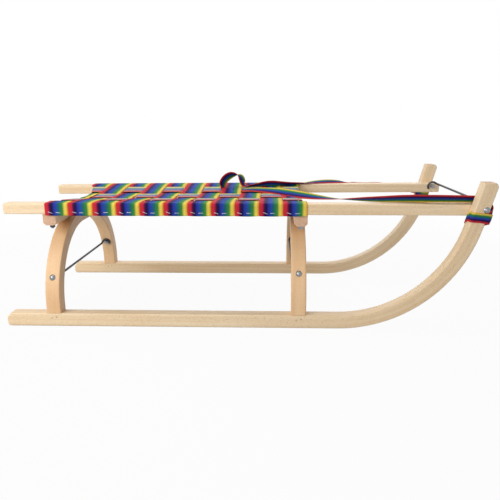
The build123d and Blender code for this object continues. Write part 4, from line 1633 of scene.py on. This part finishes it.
@dataclass
class Studio:
    """White studio: camera at the photograph's place, soft lamps, and a floor that keeps the shadow."""

    position: tuple[float, float, float] = (0.0675, -1.20373, 0.42919)
    yaw: float = 0.045265
    pitch: float = 0.254987
    roll: float = -0.008444
    focal_pixels: float = 514.058
    frame_pixels: float = 500.0
    sensor: float = 36.0
    lamps: tuple[Lamp, ...] = STUDIO_LAMPS
    lamp_aim: tuple[float, float, float] = (0.0, 0.0, 0.15)
    floor_size: float = 40.0
    floor_drop: float = 0.0002
    floor_grey: tuple[float, float, float, float] = (0.6, 0.6, 0.6, 1)
    floor_roughness: float = 0.9
    floor_shine: float = 0.1
    shadow_share: float = 0.05
    shadow_fade: tuple[float, float] = (0.7, 1.6)
    world_strength: float = 0.25
    contact_way: float = 0.01

    def build_camera(self) -> None:
        """Make the camera and look through it."""
        data = bpy.data.cameras.new("camera")
        data.sensor_width = self.sensor
        data.lens = self.focal_pixels / self.frame_pixels * self.sensor
        camera = place_object("camera", data)
        right = Vector((math.cos(self.yaw), math.sin(self.yaw), 0))
        level = Vector((-math.sin(self.yaw), math.cos(self.yaw), 0))
        up = Vector((0, 0, 1))
        forward = level * math.cos(self.pitch) - up * math.sin(self.pitch)
        tilted_up = up * math.cos(self.pitch) + level * math.sin(self.pitch)
        rolled_right = right * math.cos(self.roll) + tilted_up * math.sin(self.roll)
        rolled_up = tilted_up * math.cos(self.roll) - right * math.sin(self.roll)
        turned = Matrix((rolled_right, rolled_up, -forward)).transposed().to_4x4()
        camera.matrix_world = Matrix.Translation(self.position) @ turned
        bpy.context.scene.camera = camera

    def hang_lamp(self, lamp: Lamp) -> None:
        """Hang a lamp so that it looks at the sled's middle."""
        data = bpy.data.lights.new(lamp.name, "AREA")
        data.shape = "SQUARE"
        data.size = lamp.size
        data.energy = lamp.power
        data.color = srgb(*lamp.tint)[:3]
        hung = place_object(lamp.name, data)
        hung.location = lamp.place
        aim = Vector(self.lamp_aim) - Vector(lamp.place)
        hung.rotation_euler = aim.to_track_quat("-Z", "Y").to_euler()

    def seen_white(self, wiring: Wiring) -> Socket:
        """One for what the camera sees directly, in metal or through glass."""
        rays = wiring.node("ShaderNodeLightPath").outputs
        bent = wiring.math("MAXIMUM", rays["Is Glossy Ray"], rays["Is Transmission Ray"])
        return wiring.math("MAXIMUM", rays["Is Camera Ray"], bent)

    def build_world(self) -> None:
        """Make the surroundings white to look at and plain as light."""
        world = bpy.data.worlds.new("studio")
        world.use_nodes = True
        bpy.context.scene.world = world
        wiring = Wiring(world.node_tree)
        sky = world.node_tree.nodes["Background"]
        sky.inputs["Color"].default_value = (1, 1, 1, 1)
        seen = self.seen_white(wiring)
        extra = wiring.math("MULTIPLY", seen, 1.0 - self.world_strength)
        world.node_tree.links.new(wiring.math("ADD", extra, self.world_strength), sky.inputs["Strength"])

    def build_floor(self) -> None:
        """Lay a white floor with a faint shadow that fades out away from the sled, clear from below.

        It lets light through right under the soles, which would be black from below without it.
        """
        mesh = bpy.data.meshes.new("floor")
        half, drop = self.floor_size / 2, -self.floor_drop
        corners = [(-half, -half, drop), (half, -half, drop), (half, half, drop), (-half, half, drop)]
        mesh.from_pydata(corners, [], [(0, 1, 2, 3)])
        floor = place_object("floor", mesh)
        material, wiring, shader = new_material("white floor")
        shader.inputs["Base Color"].default_value = self.floor_grey
        shader.inputs["Roughness"].default_value = self.floor_roughness
        shader.inputs["Specular IOR Level"].default_value = self.floor_shine
        place = wiring.node("ShaderNodeTexCoord").outputs["Object"]
        reach = wiring.node("ShaderNodeVectorMath", {0: place}, operation="LENGTH").outputs["Value"]
        away = wiring.ramp(reach, *self.shadow_fade)
        near = wiring.math("MULTIPLY", wiring.math("SUBTRACT", 1.0, away), self.shadow_share)
        glow = wiring.math("SUBTRACT", 1.0, near)
        share = wiring.math("MULTIPLY", self.seen_white(wiring), glow)
        white = wiring.node("ShaderNodeEmission", {"Color": (1, 1, 1, 1), "Strength": 1.0})
        blend = wiring.node("ShaderNodeMixShader", {0: share, 1: shader.outputs[0], 2: white.outputs[0]})
        underside = wiring.node("ShaderNodeNewGeometry").outputs["Backfacing"]
        way = wiring.node("ShaderNodeLightPath").outputs["Ray Length"]
        touched = wiring.math("LESS_THAN", way, self.contact_way)
        passed = wiring.math("MAXIMUM", underside, touched)
        clear = wiring.node("ShaderNodeBsdfTransparent")
        sheet = wiring.node("ShaderNodeMixShader", {0: passed, 1: blend.outputs[0], 2: clear.outputs[0]})
        output = material.node_tree.nodes["Material Output"]
        material.node_tree.links.new(sheet.outputs[0], output.inputs["Surface"])
        mesh.materials.append(material)

    def build(self) -> None:
        """Make camera, lamps, world and floor."""
        bpy.context.scene.view_settings.view_transform = "Standard"
        self.build_camera()
        for lamp in self.lamps:
            self.hang_lamp(lamp)
        self.build_world()
        self.build_floor()


def main() -> None:
    """Build the studio, the strap, the seat and the finishes in order, and report each."""
    logging.basicConfig(level=logging.INFO, format="%(message)s")
    Studio().build()
    REPORT.info("studio ready")
    effects = Effects()
    for piece in PullStrap(effects).build():
        REPORT.info("pull strap: %s", piece.name)
    rails = Rails()
    for piece in Seat(rails, effects).build():
        REPORT.info("seat: %s", piece.name)
    for name, side in (("left", 1), ("right", -1)):
        REPORT.info("staples: %s", Staples(rails, effects).build(name, side).name)
    for node in WoodFrame(effects).dress():
        REPORT.info("beech: %s", node)
    fittings = Fittings(effects)
    for node in fittings.dress():
        REPORT.info("steel: %s", node)
    REPORT.info("pins: %s", fittings.build_pins().name)


if __name__ == "__main__":
    main()
